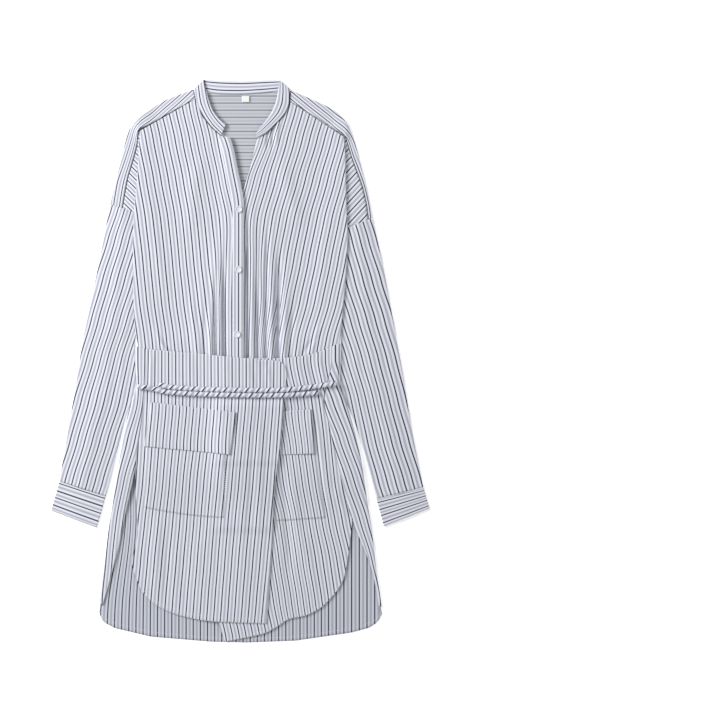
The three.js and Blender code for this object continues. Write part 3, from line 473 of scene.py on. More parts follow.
@dataclass(frozen=True)
class StripedPoplin:
    """Yarn-dyed cotton poplin: fine plain weave, matt, with a soft sheen from combed yarn.

    Attributes:
        name: the material's name.
        ground: colour of the white ground.
        band: colour of the broad pale band.
        line: colour of the narrow dark line.
        roughness: roughness of the cloth.
        sheen: weight of its sheen.
        yarn: uneven tone of the yarn, in cycles for each metre across and along; a real
            thread is 0.2 mm wide, and this is coarser, so that it shows.
        weave: the weave's bump, in cycles for each metre, coarser than it is, too.
    """

    name: str
    ground: str
    band: str
    line: str
    roughness: float = 0.86
    sheen: float = 0.12
    yarn: tuple[float, float, float] = (2600.0, 160.0, 1.0)
    weave: float = 900.0

    def make(self) -> bpy.types.Material:
        """Builds the material on the piece's own UV map, in metres.

        Returns:
            The material.
        """
        material = bpy.data.materials.new(self.name)
        material.use_nodes = True
        tree = material.node_tree
        shader = tree.nodes["Principled BSDF"]
        uv = add_node(tree, "ShaderNodeUVMap", {"uv_map": "cloth"})
        parts = add_node(tree, "ShaderNodeSeparateXYZ", links={"Vector": uv.outputs["UV"]})
        repeats = add_node(tree, "ShaderNodeMath", {"operation": "MULTIPLY"},
                           {0: parts.outputs["X"], 1: 1.0 / (REPEAT * MM)})
        place = add_node(tree, "ShaderNodeMath", {"operation": "FRACT"},
                         {0: repeats.outputs[0]})
        ramp = add_node(tree, "ShaderNodeValToRGB", links={"Fac": place.outputs[0]})
        self._fill(ramp.color_ramp)
        slub = add_node(tree, "ShaderNodeMapping", {},
                        {"Vector": uv.outputs["UV"], "Scale": self.yarn})
        yarn = add_node(tree, "ShaderNodeTexNoise", {},
                        {"Vector": slub.outputs["Vector"], "Scale": 1.0, "Detail": 2.0})
        tone = add_node(tree, "ShaderNodeMapRange", {},
                        {"Value": yarn.outputs["Fac"], "To Min": 0.94, "To Max": 1.03})
        colour = add_node(tree, "ShaderNodeMix",
                          {"data_type": "RGBA", "blend_type": "MULTIPLY"}, {"Factor": 1.0})
        tree.links.new(ramp.outputs["Color"], colour.inputs["A"])
        tree.links.new(tone.outputs["Result"], colour.inputs["B"])
        tree.links.new(colour.outputs["Result"], shader.inputs["Base Color"])
        weave = add_node(tree, "ShaderNodeTexNoise", {},
                         {"Vector": uv.outputs["UV"], "Scale": self.weave, "Detail": 3.0})
        bump = add_node(tree, "ShaderNodeBump", {},
                        {"Height": weave.outputs["Fac"], "Strength": 0.12,
                         "Distance": 0.0004})
        tree.links.new(bump.outputs["Normal"], shader.inputs["Normal"])
        shader.inputs["Roughness"].default_value = self.roughness
        shader.inputs["Specular IOR Level"].default_value = 0.25
        shader.inputs["Sheen Weight"].default_value = self.sheen
        shader.inputs["Sheen Roughness"].default_value = 0.5
        return material

    def _fill(self, ramp: bpy.types.ColorRamp) -> None:
        """Sets one repeat of the stripe: line, ground, band, ground, line.

        Args:
            ramp: the colour ramp over one repeat.
        """
        edge = 0.03
        line, first, second = 0.082, 0.36, 0.64
        stops = [
            (0.0, self.line), (line - edge, self.line), (line + edge, self.ground),
            (first - edge, self.ground), (first + edge, self.band),
            (second - edge, self.band), (second + edge, self.ground),
            (1 - line - edge, self.ground), (1 - line + edge, self.line), (1.0, self.line),
        ]
        ramp.elements[0].position = 0.0
        ramp.elements[0].color = linear(stops[0][1])
        ramp.elements[1].position = 1.0
        ramp.elements[1].color = linear(stops[-1][1])
        for position, colour in stops[1:-1]:
            ramp.elements.new(position).color = linear(colour)


@dataclass(frozen=True)
class PlainFinish:
    """One plain material with a fine grain: thread, label tape or button resin.

    Attributes:
        name: the material's name.
        colour: its colour.
        roughness: its roughness.
        grain: scale of its grain, in cycles for each metre.
        depth: depth of the grain's bump.
        coat: weight of a clear gloss.
    """

    name: str
    colour: str
    roughness: float
    grain: float
    depth: float
    coat: float = 0.0

    def make(self) -> bpy.types.Material:
        """Builds the material on object coordinates.

        Returns:
            The material.
        """
        material = bpy.data.materials.new(self.name)
        material.use_nodes = True
        tree = material.node_tree
        shader = tree.nodes["Principled BSDF"]
        place = add_node(tree, "ShaderNodeTexCoord")
        noise = add_node(tree, "ShaderNodeTexNoise", {},
                         {"Vector": place.outputs["Object"], "Scale": self.grain})
        bump = add_node(tree, "ShaderNodeBump", {},
                        {"Height": noise.outputs["Fac"], "Strength": 0.3,
                         "Distance": self.depth})
        tree.links.new(bump.outputs["Normal"], shader.inputs["Normal"])
        shader.inputs["Base Color"].default_value = linear(self.colour)
        shader.inputs["Roughness"].default_value = self.roughness
        shader.inputs["Coat Weight"].default_value = self.coat
        return material


class Wardrobe:
    """The materials, each made once."""

    def __init__(self) -> None:
        """Makes every material."""
        self.cloth = {
            Face.RIGHT: StripedPoplin("poplin_right_side", "#f1f2fb", "#bfc2d2",
                                      "#182348").make(),
            # Wrong side: ground and band darker than the right side's, painted shade of the
            # insides that lie in the garment's shadow, over the wrong side's own slightly duller
            # yarn.
            Face.WRONG_SHADED: StripedPoplin("poplin_wrong_side_painted_shade", "#dcdfe9", "#b7bac9",
                                      "#262e46").make(),
            # Yoke's inside at the neck: the pale lines are its own; the darker ground and band
            # are painted shade of the neck.
            Face.YOKE_INSIDE_SHADED: StripedPoplin("poplin_yoke_inside_painted_shade", "#cfd1d8", "#c2c4cc",
                                           "#878c9b").make(),
        }
        self.thread = PlainFinish("white_thread", "#fbfbfd", 0.7, 2500, 0.0001).make()
        self.label = PlainFinish("label_tape", "#fbfbfb", 0.8, 1800, 0.0001).make()
        self.button = PlainFinish("button_resin", "#e9ebf0", 0.3, 60, 0.00002, 0.25).make()

    @property
    def two_sided(self) -> tuple[bpy.types.Material, bpy.types.Material]:
        """The cloth's right side and its wrong side, whose colours carry painted shade."""
        return self.cloth[Face.RIGHT], self.cloth[Face.WRONG_SHADED]


# Mesh making

@dataclass
class Patch:
    """A grid of cloth: places in millimetres, and the cloth's own coordinates.

    Attributes:
        x: places across.
        y: places along.
        z: heights of the cloth's middle.
        repeats: stripe repeats at each point.
        along: millimetres along the stripes at each point.
    """

    x: Array
    y: Array
    z: Array
    repeats: Array
    along: Array


def add_patch(bm: bmesh.types.BMesh, patch: Patch) -> None:
    """Adds a patch's grid to a mesh, with its cloth coordinates.

    Args:
        bm: the mesh.
        patch: the patch.
    """
    rows, columns = patch.x.shape[0] - 1, patch.x.shape[1] - 1
    layer = bm.loops.layers.uv.get("cloth") or bm.loops.layers.uv.new("cloth")
    made = bmesh.ops.create_grid(bm, x_segments=columns, y_segments=rows, size=0.5)
    cells = {}
    for vert in made["verts"]:
        j = round((vert.co.x + 0.5) * columns)
        i = round((0.5 - vert.co.y) * rows)
        cells[vert] = (i, j)
        vert.co = ((patch.x[i, j] - CENTRE[0]) * MM, (patch.y[i, j] - CENTRE[1]) * MM,
                   patch.z[i, j] * MM)
    faces = {face for vert in made["verts"] for face in vert.link_faces}
    for face in faces:
        for loop in face.loops:
            i, j = cells[loop.vert]
            loop[layer].uv = (patch.repeats[i, j] * REPEAT * MM, patch.along[i, j] * MM)


def finish_mesh(name: str, bm: bmesh.types.BMesh,
                materials: Sequence[bpy.types.Material]) -> bpy.types.Object:
    """Turns a mesh under way into an object of the scene.

    Args:
        name: the object's name.
        bm: the mesh, which is freed.
        materials: its materials.

    Returns:
        The object, smooth shaded.
    """
    mesh = bpy.data.meshes.new(name)
    bm.to_mesh(mesh)
    bm.free()
    for material in materials:
        mesh.materials.append(material)
    mesh.polygons.foreach_set("use_smooth", np.ones(len(mesh.polygons), bool))
    thing = bpy.data.objects.new(name, mesh)
    bpy.context.scene.collection.objects.link(thing)
    return thing


def cloth_object(name: str, patches: Sequence[Patch], faces: Sequence[bpy.types.Material],
                 right_side_up: bool = True, shell: float = SHELL) -> bpy.types.Object:
    """Builds a piece of cloth from its patches.

    Args:
        name: the object's name.
        patches: grids, welded where they meet.
        faces: the right side's material and the wrong side's.
        right_side_up: whether the first patch shows its right side from above.
        shell: the cloth's thickness, in millimetres.

    Returns:
        The piece, with its thickness as a modifier.
    """
    bm = bmesh.new()
    for patch in patches:
        add_patch(bm, patch)
    bmesh.ops.remove_doubles(bm, verts=bm.verts, dist=0.00004)
    bm.faces.ensure_lookup_table()
    bmesh.ops.recalc_face_normals(bm, faces=bm.faces)
    bm.normal_update()
    first = max(bm.faces, key=lambda f: f.calc_center_median().z * abs(f.normal.z))
    if (first.normal.z > 0) != right_side_up:
        bmesh.ops.reverse_faces(bm, faces=bm.faces)
    piece = finish_mesh(name, bm, faces)
    solid = piece.modifiers.new("thickness", "SOLIDIFY")
    solid.thickness = shell * MM
    solid.offset = 0.0
    solid.material_offset = 1 if len(faces) > 1 else 0
    return piece


def seat(piece: bpy.types.Object, slot: str, *nodes: str) -> bpy.types.Object:
    """Lets a piece ride on the body and stand for its solids.

    Args:
        piece: the piece.
        slot: not used.
        nodes: the solids that it replaces.

    Returns:
        The piece.
    """
    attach(piece, "root")
    if nodes:
        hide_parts(*nodes)
    log.info("built %s", piece.name)
    return piece


@dataclass
class Stitching:
    """Lock stitches laid along lines: short dashes of thread, joined in one mesh.

    Attributes:
        length: length of one stitch.
        gap: space between two stitches.
        width: width of the thread.
        rise: height of a stitch's middle over its ends.
        paths: the lines that the stitches follow.
    """

    length: float = 2.4
    gap: float = 0.8
    width: float = 0.85
    rise: float = 0.25
    paths: list[Array] = field(default_factory=list)

    def along(self, x: Array, y: Array, z: Array) -> None:
        """Adds a line of stitches through places, in millimetres."""
        self.paths.append(np.stack([x, y, z], axis=-1))

    def build(self, name: str, material: bpy.types.Material) -> bpy.types.Object:
        """Builds every stitch as a small closed dash.

        Args:
            name: the object's name.
            material: the thread's material.

        Returns:
            The joined stitches.
        """
        bm = bmesh.new()
        part = bpy.data.meshes.new("stitch_line")
        for path in self.paths:
            self._line(path, part)
            bm.from_mesh(part)
        bpy.data.meshes.remove(part)
        return finish_mesh(name, bm, [material])

    def _line(self, path: Array, part: bpy.types.Mesh) -> None:
        """Fills a mesh with the stitches of one line.

        Args:
            path: places along the line, in millimetres.
            part: the mesh, whose old content goes.
        """
        bm = bmesh.new()
        steps = np.linalg.norm(np.diff(path, axis=0), axis=1)
        run = np.concatenate([[0.0], np.cumsum(steps)])
        for start in np.arange(0.4, run[-1] - self.length, self.length + self.gap):
            a, b = (np.array([np.interp(start + d, run, path[:, k]) for k in range(3)])
                    for d in (0.0, self.length))
            self._dash(bm, a, b)
        bm.to_mesh(part)
        bm.free()

    def _dash(self, bm: bmesh.types.BMesh, a: Array, b: Array) -> None:
        """Adds one stitch, higher in its middle: a ball of eight faces, pulled to shape.

        Args:
            bm: the mesh of all stitches.
            a: the stitch's start, in millimetres.
            b: its end.
        """
        way = (b - a) / 2
        side = np.array([-way[1], way[0], 0.0])
        side *= 0.5 * self.width / max(float(np.linalg.norm(side)), 1e-6)
        rise = np.array([0.0, 0.0, self.rise])
        middle = (a + b) / 2 - np.array([*CENTRE, 0.0])
        pull = Matrix(np.column_stack([way, side, rise]).tolist()) * MM
        turn = pull.to_4x4()
        turn.translation = Vector(middle * MM)
        bmesh.ops.create_uvsphere(bm, u_segments=4, v_segments=2, radius=1.0, matrix=turn)


# The shirt's body

class FrontRow(NamedTuple):
    """A section of a front: a at the centre or neck, b at the side fold."""

    ax: float
    ay: float
    bx: float
    by: float
    tuck: float
    dx: float
    dy: float


RIGHT_FRONT = (
    FrontRow(-68.5, 420.5, -158.5, 369, 0.5, -161.5, 367.5),
    FrontRow(-65, 409, -160, 352, 4, -163, 345),
    FrontRow(-59.5, 392.5, -161, 334, 9, -169, 321),
    FrontRow(-45, 374, -162, 314, 14, -177, 295),
    FrontRow(-29, 360.5, -163.5, 290, 18, -181.8, 270),
    FrontRow(-16, 357.5, -166, 262, 22, -184.6, 254),
    FrontRow(-9.6, 338.5, -168.2, 233, 24, -187, 241.3),
    FrontRow(-3.2, 307, -169.4, 200, 10.4, -187, 241.3),
    FrontRow(5.6, 263, -169.8, 165, 10.4, -187, 241.3),
    FrontRow(6.6, 222, -169.6, 130, 10.4, -187, 241.3),
    FrontRow(6.6, 180, -169, 100, 10.4, -187, 241.3),
    FrontRow(6.6, 140, -168.3, 76, 10.4, -187, 241.3),
    FrontRow(6.6, 100, -166.5, 55, 10.4, -187, 241.3),
    FrontRow(6.6, 60, -164, 36, 10.4, -187, 241.3),
    FrontRow(6.6, 20, -159, 12, 10.4, -187, 241.3),
    FrontRow(6.6, -30, -156, -35, 10.4, -187, 241.3),
    FrontRow(6.6, -90, -154, -90, 10.4, -187, 241.3),
    FrontRow(6.6, SHIRT_HEM_Y, -152, SHIRT_HEM_Y, 10.4, -187, 241.3),
)
LEFT_FRONT = (
    FrontRow(79, 417.0, 167, 359.5, 0.5, 170, 357.5),
    FrontRow(76.5, 405, 168.5, 346, 4, 173.5, 344),
    FrontRow(72, 394, 169.5, 328, 9, 179, 326),
    FrontRow(58, 378, 170, 306, 14, 186.5, 306),
    FrontRow(44, 364, 170.5, 276, 18, 196, 280),
    FrontRow(29.5, 356, 171.5, 242, 22, 202.8, 252),
    FrontRow(24, 338, 173.3, 202.5, 24, 206, 224.5),
    FrontRow(15.6, 303, 172.5, 172, 10.4, 206, 224.5),
    FrontRow(3.2, 265.6, 170.5, 142, 10.4, 206, 224.5),
    FrontRow(-8, 234, 168.5, 115, 10.4, 206, 224.5),
    FrontRow(-11, 185, 166.5, 92, 10.4, 206, 224.5),
    FrontRow(-11, 140, 164.5, 70, 10.4, 206, 224.5),
    FrontRow(-11, 100, 162.5, 52, 10.4, 206, 224.5),
    FrontRow(-11, 60, 160.5, 34, 10.4, 206, 224.5),
    FrontRow(-11, 20, 156.5, 10, 10.4, 206, 224.5),
    FrontRow(-11, -30, 152, -35, 10.4, 206, 224.5),
    FrontRow(-11, -90, 149, -90, 10.4, 206, 224.5),
    FrontRow(-11, SHIRT_HEM_Y, 147.5, SHIRT_HEM_Y, 10.4, 206, 224.5),
)
ARM_ROWS = 7                 # rows of a front's table that reach the drop shoulder
FRONT_STEPS = 9              # grid rows from one section of a front to the next
FRONT_COLUMNS = 121          # grid columns of a front's upper layer


@dataclass
class ShirtFront:
    """One front of the shirt, folded under at the side and out again to the drop shoulder.

    Attributes:
        name: the piece's name.
        table: its sections.
        height: height of its upper layer.
        stripes: its stripe field.
        slope: run of the drop shoulder's stripes across, for each millimetre along.
        start: where the drop shoulder's line 0 crosses the middle.
        pitch: its distance from one line to the next, along.
    """

    name: str
    table: tuple[FrontRow, ...]
    height: Height
    stripes: StripeField
    slope: float
    start: float
    pitch: float

    def build(self, wardrobe: Wardrobe) -> bpy.types.Object:
        """Builds the front.

        Args:
            wardrobe: the materials.

        Returns:
            The piece.
        """
        t = np.linspace(0, 1, FRONT_STEPS * (len(self.table) - 1) + 1)
        row = rows_at(self.table, t)
        upper = self._upper(row, t)
        arm = FRONT_STEPS * (ARM_ROWS - 1)
        patches = [upper, self._shoulder(row, t, upper, arm)]
        piece = cloth_object(self.name, patches, wardrobe.two_sided)
        return seat(piece, "striped_poplin", self.name)

    @property
    def inward(self) -> float:
        """The sign of the way from the side fold to the centre."""
        return 1.0 if self.table[0].bx < 0 else -1.0

    def _lift(self, t: Array) -> tuple[Array, Array]:
        """Works out how high the side fold lies.

        Args:
            t: shares of the table's length.

        Returns:
            The fold's height and a quarter of its rise, for each row.
        """
        k = t * (len(self.table) - 1)
        fold = mix(FOLD_Z - FOLD_DROP, FOLD_Z, smooth(0, 2, k))
        return fold, (fold - ARM_Z) / 4

    def _upper(self, row: dict[str, Array], t: Array) -> Patch:
        """Lays out the upper layer, the side fold and the return under it.

        Args:
            row: the table's columns at each grid row.
            t: shares of the table's length.

        Returns:
            The patch.
        """
        radius = (FOLD_Z - ARM_Z) / 4
        fold, lift = self._lift(t)
        s = np.linspace(0, 1, FRONT_COLUMNS)[None, :]
        edge = row["bx"] + self.inward * radius
        x = mix(row["ax"][:, None], edge[:, None], s)
        y = mix(row["ay"][:, None], row["by"][:, None], s)
        z = mix(self.height(x, y), fold[:, None], smooth(0.6, 1, s))
        repeats = self.stripes.count(x, y)
        angles = np.radians(np.linspace(60, -90, 6))[None, :]
        turn_x = edge[:, None] - self.inward * lift[:, None] * np.cos(angles)
        turn_z = fold[:, None] - lift[:, None] + lift[:, None] * np.sin(angles)
        back = np.linspace(0.25, 1, 4)[None, :]
        back_x = edge[:, None] + self.inward * row["tuck"][:, None] * back
        back_z = np.repeat((fold - 2 * lift)[:, None], 4, axis=1)
        fold_y = np.repeat(row["by"][:, None], 10, axis=1)
        fold_u = repeats[:, -1:] + np.linspace(0.1, 1.4, 10)[None, :]
        return Patch(np.hstack([x, turn_x, back_x]), np.hstack([y, fold_y]),
                     np.hstack([z, turn_z, back_z]), np.hstack([repeats, fold_u]),
                     np.hstack([y, fold_y]))

    def _shoulder(self, row: dict[str, Array], t: Array, upper: Patch, arm: int) -> Patch:
        """Lays out the layer from under the fold to the yoke's seam.

        Args:
            row: the table's columns at each grid row.
            t: shares of the table's length.
            upper: the upper layer.
            arm: the last grid row of the drop shoulder.

        Returns:
            The patch.
        """
        fold, lift = (a[:arm + 1, None] for a in self._lift(t))
        start_x, start_y = upper.x[:arm + 1, -1:], upper.y[:arm + 1, -1:]
        angles = np.radians(np.linspace(90, -90, 6))[None, :]
        turn_x = start_x + self.inward * lift * np.cos(angles)
        turn_z = fold - 3 * lift + lift * np.sin(angles)
        turn_y = np.repeat(start_y, 6, axis=1)
        s = np.linspace(0.1, 1, 14)[None, :]
        x = np.hstack([turn_x, mix(start_x, row["dx"][:arm + 1, None], s)])
        y = np.hstack([turn_y, mix(start_y, row["dy"][:arm + 1, None], s)])
        z = np.hstack([turn_z, np.full_like(s, ARM_Z) + 0 * start_x])
        repeats = (y + self.slope * x - self.start) / self.pitch
        return Patch(x, y, z, repeats, x)


class PlacketRow(NamedTuple):
    """The placket's inner and outer edge."""

    ix: float
    iy: float
    ox: float
    oy: float


PLACKET = (
    PlacketRow(-33, 356.5, -15.2, 359), PlacketRow(-26.5, 335, -8.8, 339),
    PlacketRow(-20.3, 303, -2.4, 307), PlacketRow(-12, 260, 6.4, 263),
    PlacketRow(-10.6, 235, 7.6, 235), PlacketRow(-10.6, 130, 7.6, 130),
    PlacketRow(-10.6, 25, 7.6, 25), PlacketRow(-10.6, SHIRT_HEM_Y + 2, 7.6, SHIRT_HEM_Y + 2),
)


class BackRow(NamedTuple):
    """The shirt back's two edges at one level."""

    lx: float
    rx: float
    y: float


SHIRT_BACK = (
    BackRow(-147, 146, 252), BackRow(-152.5, 155, 200), BackRow(-153.5, 153, 130),
    BackRow(-151, 147.5, 70), BackRow(-147, 144, 36), BackRow(-142.5, 140, 12),
    BackRow(-139, 135.5, -35), BackRow(-137, 132.5, -90), BackRow(-136, 131.5, SHIRT_HEM_Y),
)


@dataclass
class ShirtBody:
    """Fronts, back and placket.

    Attributes:
        fronts: both fronts, the one that lies under first.
    """

    fronts: tuple[ShirtFront, ...] = (
        ShirtFront("shirt_front_left", LEFT_FRONT, under_front, LEFT_FRONT_STRIPES,
                   -1.08, 14.65, 17.1),
        ShirtFront("shirt_front_right", RIGHT_FRONT, over_front, RIGHT_FRONT_STRIPES,
                   1.0, 68.6, 14.1),
    )

    def build(self, wardrobe: Wardrobe, thread: Stitching) -> None:
        """Builds the body and lays its stitching.

        Args:
            wardrobe: the materials.
            thread: collects the stitch lines.
        """
        for front in self.fronts:
            piece = front.build(wardrobe)
        self._back(wardrobe)
        self._placket(wardrobe, thread)

    def _back(self, wardrobe: Wardrobe) -> None:
        """Builds the shirt's back under the fronts.

        Args:
            wardrobe: the materials.
        """
        s, t = across_down(60, 80)
        row = rows_at(SHIRT_BACK, t)
        x, y = mix(row["lx"], row["rx"], s), row["y"]
        patch = Patch(x, y, back_height(x, y), x / REPEAT, y)
        # The back lies wrong side up; that side's colours carry painted shade.
        piece = cloth_object("shirt_back", [patch], wardrobe.two_sided, right_side_up=False)
        seat(piece, "striped_poplin", "shirt_back")

    def _placket(self, wardrobe: Wardrobe, thread: Stitching) -> None:
        """Builds the placket strip and the stitches along both edges.

        Args:
            wardrobe: the materials.
            thread: collects the stitch lines.
        """
        s, t = across_down(10, 260)
        row = rows_at(PLACKET, t)
        x, y = mix(row["ix"], row["ox"], s), mix(row["iy"], row["oy"], s)
        z = placket_height(x, y) + 0.3 * plateau(0, 0.12, 0.88, 1, s)
        patch = Patch(x, y, z, s * 1.59 + 0.154, y)
        piece = cloth_object("placket", [patch], wardrobe.two_sided)
        seat(piece, "striped_poplin", "placket")
        for k in (0, 1, 9, 10):
            thread.along(x[:, k], y[:, k], z[:, k] + SHELL / 2)


# Yoke and collar

class YokeRow(NamedTuple):
    """A section of the yoke: f its front seam, o the shoulder's outline, k its back seam."""

    fx: float
    fy: float
    ox: float
    oy: float
    kx: float
    ky: float


YOKE_RIGHT = (
    YokeRow(-188, 242, -207, 250.4, -168, 236),
    YokeRow(-183.6, 270, -202.4, 270.4, -163, 242),
    YokeRow(-178.6, 295, -192.8, 309, -157, 249),
    YokeRow(-170.6, 322, -184.8, 341, -150, 255),
    YokeRow(-164.4, 346, -177.6, 368, -140, 255),
    YokeRow(-161.3, 369.5, -160, 391, -126, 255),
    YokeRow(-142.4, 379.8, -140, 405, -110, 255),
    YokeRow(-121.6, 391.5, -121, 416.8, -92, 255),
    YokeRow(-100, 403.6, -100, 425.5, -74, 255),
    YokeRow(-70, 420, -74, 435, -53, 255),
)
YOKE_LEFT = (
    YokeRow(80, 417, 83, 433.5, 61, 255),
    YokeRow(113.6, 396.5, 114, 420, 86, 255),
    YokeRow(140.8, 380, 140, 408, 106, 255),
    YokeRow(155, 370, 155, 398.5, 122, 255),
    YokeRow(168.8, 360, 171.5, 381, 138, 255),
    YokeRow(174.8, 345.5, 182, 358, 150, 253),
    YokeRow(180.3, 327, 188.5, 336, 157, 246),
    YokeRow(187.6, 307.5, 195, 311, 162, 237),
    YokeRow(197, 281.5, 202.6, 281, 166, 227),
    YokeRow(203.8, 253, 208.8, 252, 169, 217),
    YokeRow(207.2, 228, 212.9, 228.5, 172, 207),
)


class NeckRow(NamedTuple):
    """The yoke's back at the neck: o on the neckline, k on the back seam."""

    ox: float
    oy: float
    kx: float
    ky: float


YOKE_NECK = (
    NeckRow(-74, 435, -53, 255), NeckRow(-62, 431.5, -45, 255), NeckRow(-40, 429.5, -30, 255),
    NeckRow(5, 429, 4, 255), NeckRow(50, 431, 38, 255), NeckRow(72, 432.5, 54, 255),
    NeckRow(83, 433.5, 61, 255),
)


class CollarRow(NamedTuple):
    """A section of the collar stand: s its sewn edge, e its free edge."""

    sx: float
    sy: float
    ex: float
    ey: float
    sz: float
    ez: float


COLLAR = (
    CollarRow(-28.6, 362, -21.6, 378.7, 5.2, 5.6),
    CollarRow(-44.6, 376.4, -31.5, 387.6, 5.2, 5.8),
    CollarRow(-57.6, 393.8, -41.6, 400, 5.2, 6),
    CollarRow(-67.4, 411.5, -48, 416, 5.2, 6),
    CollarRow(-71.4, 428.5, -53, 434, 5.2, 5.8),
    CollarRow(-72.8, 435.0, -56.4, 449.4, 4.2, 4.6),
    CollarRow(-71.8, 435.6, -55.4, 450.4, 3.1, 3.3),
    CollarRow(-68.5, 434.4, -52.4, 450.6, 2.3, 2.3),
    CollarRow(-36, 428.4, -32, 449.4, 2.3, 2.5),
    CollarRow(4, 427.6, 4, 448.4, 2.3, 2.5),
    CollarRow(42, 430, 38, 449.6, 2.3, 2.5),
    CollarRow(75, 434, 60.0, 450.0, 2.3, 2.3),
    CollarRow(79.5, 435.4, 63.2, 450.0, 3.1, 3.3),
    CollarRow(80.8, 434.6, 64.4, 449.0, 4.2, 4.6),
    CollarRow(80.6, 428, 62, 433, 5.2, 5.8),
    CollarRow(79.6, 411, 58.4, 414.5, 5.2, 6),
    CollarRow(72.6, 396, 51, 397.5, 5.2, 6),
    CollarRow(58.6, 379.6, 41.5, 383.6, 5.2, 5.8),
    CollarRow(43.6, 365.6, 33, 373, 5.2, 5.8),
    CollarRow(28.6, 357.4, 25.8, 364, 5.2, 5.6),
)
COLLAR_WIDTH = 21.0          # width of the stand, over which its stripes are counted
COLLAR_STEPS = 12            # grid rows from one section of the collar to the next
COLLAR_PHASE = ((0, 3, 5, 7, 12, 14, 16, 19),        # sections, and the share across
                (0.12, 0.32, 0.46, 0.27, 0.27, 0.04, -0.02, 0.15))  # of line 0 at each


@dataclass
class Yoke:
    """The yoke: a back layer, and strips that come over the shoulders to the front seams.

    Attributes:
        name: the piece's name.
        seam: length of a front seam.
        arm_repeat: repeat of the stripe on the drop shoulder, which turns away there.
    """

    name: str = "yoke"
    seam: float = 300.0
    arm_repeat: float = 9.5

    def build(self, wardrobe: Wardrobe, thread: Stitching) -> None:
        """Builds the yoke and the stitches along its front seams.

        Args:
            wardrobe: the materials.
            thread: collects the stitch lines.
        """
        right, right_back = self._shoulder(YOKE_RIGHT, 5, 9, 44.0, -0.5, thread)
        left, left_back = self._shoulder(YOKE_LEFT, 4, 0, 79.0, -0.3, thread)
        s, t = across_down(40, 48)
        row = rows_at(YOKE_NECK, s)
        x, y = mix(row["ox"], row["kx"], t), mix(row["oy"], row["ky"], t)
        neck = Patch(x, y, np.full_like(x, REST), (y - YOKE_LINE_Y) / YOKE_REPEAT, x)
        # The yoke's back shows its inside, coloured darker with painted shade of the neck.
        faces = (wardrobe.cloth[Face.RIGHT], wardrobe.cloth[Face.YOKE_INSIDE_SHADED])
        piece = cloth_object(self.name, [right, right_back, left, left_back, neck], faces)
        seat(piece, "striped_poplin", self.name)

    def _shoulder(self, table: tuple[YokeRow, ...], shoulder: int, neck: int,
                  slant: float, phase: float, thread: Stitching) -> tuple[Patch, Patch]:
        """Lays out the strip over one shoulder and the back layer below it.

        Args:
            table: the sections.
            shoulder: the section at the shoulder point.
            neck: the section at the neck.
            slant: millimetres along the seam in which the stripes cross one repeat.
            phase: stripe repeats at the seam on the drop shoulder.
            thread: collects the stitch line beside the front seam.

        Returns:
            The strip and the back layer.
        """
        t = np.linspace(0, 1, 8 * (len(table) - 1) + 1)
        row = rows_at(table, t)
        share = (t * (len(table) - 1) - shoulder) / (neck - shoulder)
        up = mix(FOLD_Z - FOLD_DROP, CHEST_Z, smooth(0, 0.4, share))
        z = np.where(share < 0, mix(FOLD_Z - FOLD_DROP, ARM_Z, smooth(0, 0.25, -share)), up)
        out = np.stack([row["ox"] - row["fx"], row["oy"] - row["fy"]])
        out /= np.linalg.norm(out, axis=0)
        radius = (z - REST) / 2
        inner_x, inner_y = row["ox"] - out[0] * radius, row["oy"] - out[1] * radius
        s = np.linspace(0, 1, 9)[None, :-1]
        x = mix(row["fx"][:, None], inner_x[:, None], s)
        y = mix(row["fy"][:, None], inner_y[:, None], s)
        angles = np.radians(np.linspace(90, -90, 9))[None, :]
        reach = radius[:, None] * np.cos(angles)
        x = np.hstack([x, inner_x[:, None] + out[0][:, None] * reach])
        y = np.hstack([y, inner_y[:, None] + out[1][:, None] * reach])
        turn = (z[:, None] + REST) / 2 + radius[:, None] * np.sin(angles)
        heights = np.hstack([np.repeat(z[:, None], 8, axis=1), turn])
        steps = np.hypot(np.hypot(np.diff(x, axis=1), np.diff(y, axis=1)),
                         np.diff(heights, axis=1))
        run = np.hstack([np.zeros((len(t), 1)), np.cumsum(steps, axis=1)])
        along = np.repeat((t * self.seam)[:, None], x.shape[1], axis=1)
        seam_run = np.hypot(row["fx"] - table[shoulder].fx, row["fy"] - table[shoulder].fy)
        over = smooth(-0.25, 0.0, share)
        lean = mix(phase, -seam_run / slant, over)[:, None]
        repeats = run / mix(self.arm_repeat, REPEAT, over)[:, None] + lean
        strip = Patch(x, y, heights, repeats, along)
        down = np.linspace(0, 1, 49)[None, :]
        back_x = mix(x[:, -1:], row["kx"][:, None], down)
        back_y = mix(y[:, -1:], row["ky"][:, None], down)
        back = Patch(back_x, back_y, np.full_like(back_x, REST),
                     (back_y - YOKE_LINE_Y) / YOKE_REPEAT, back_x)
        thread.along(x[:, 1], y[:, 1], heights[:, 1] + SHELL / 2)
        return strip, back


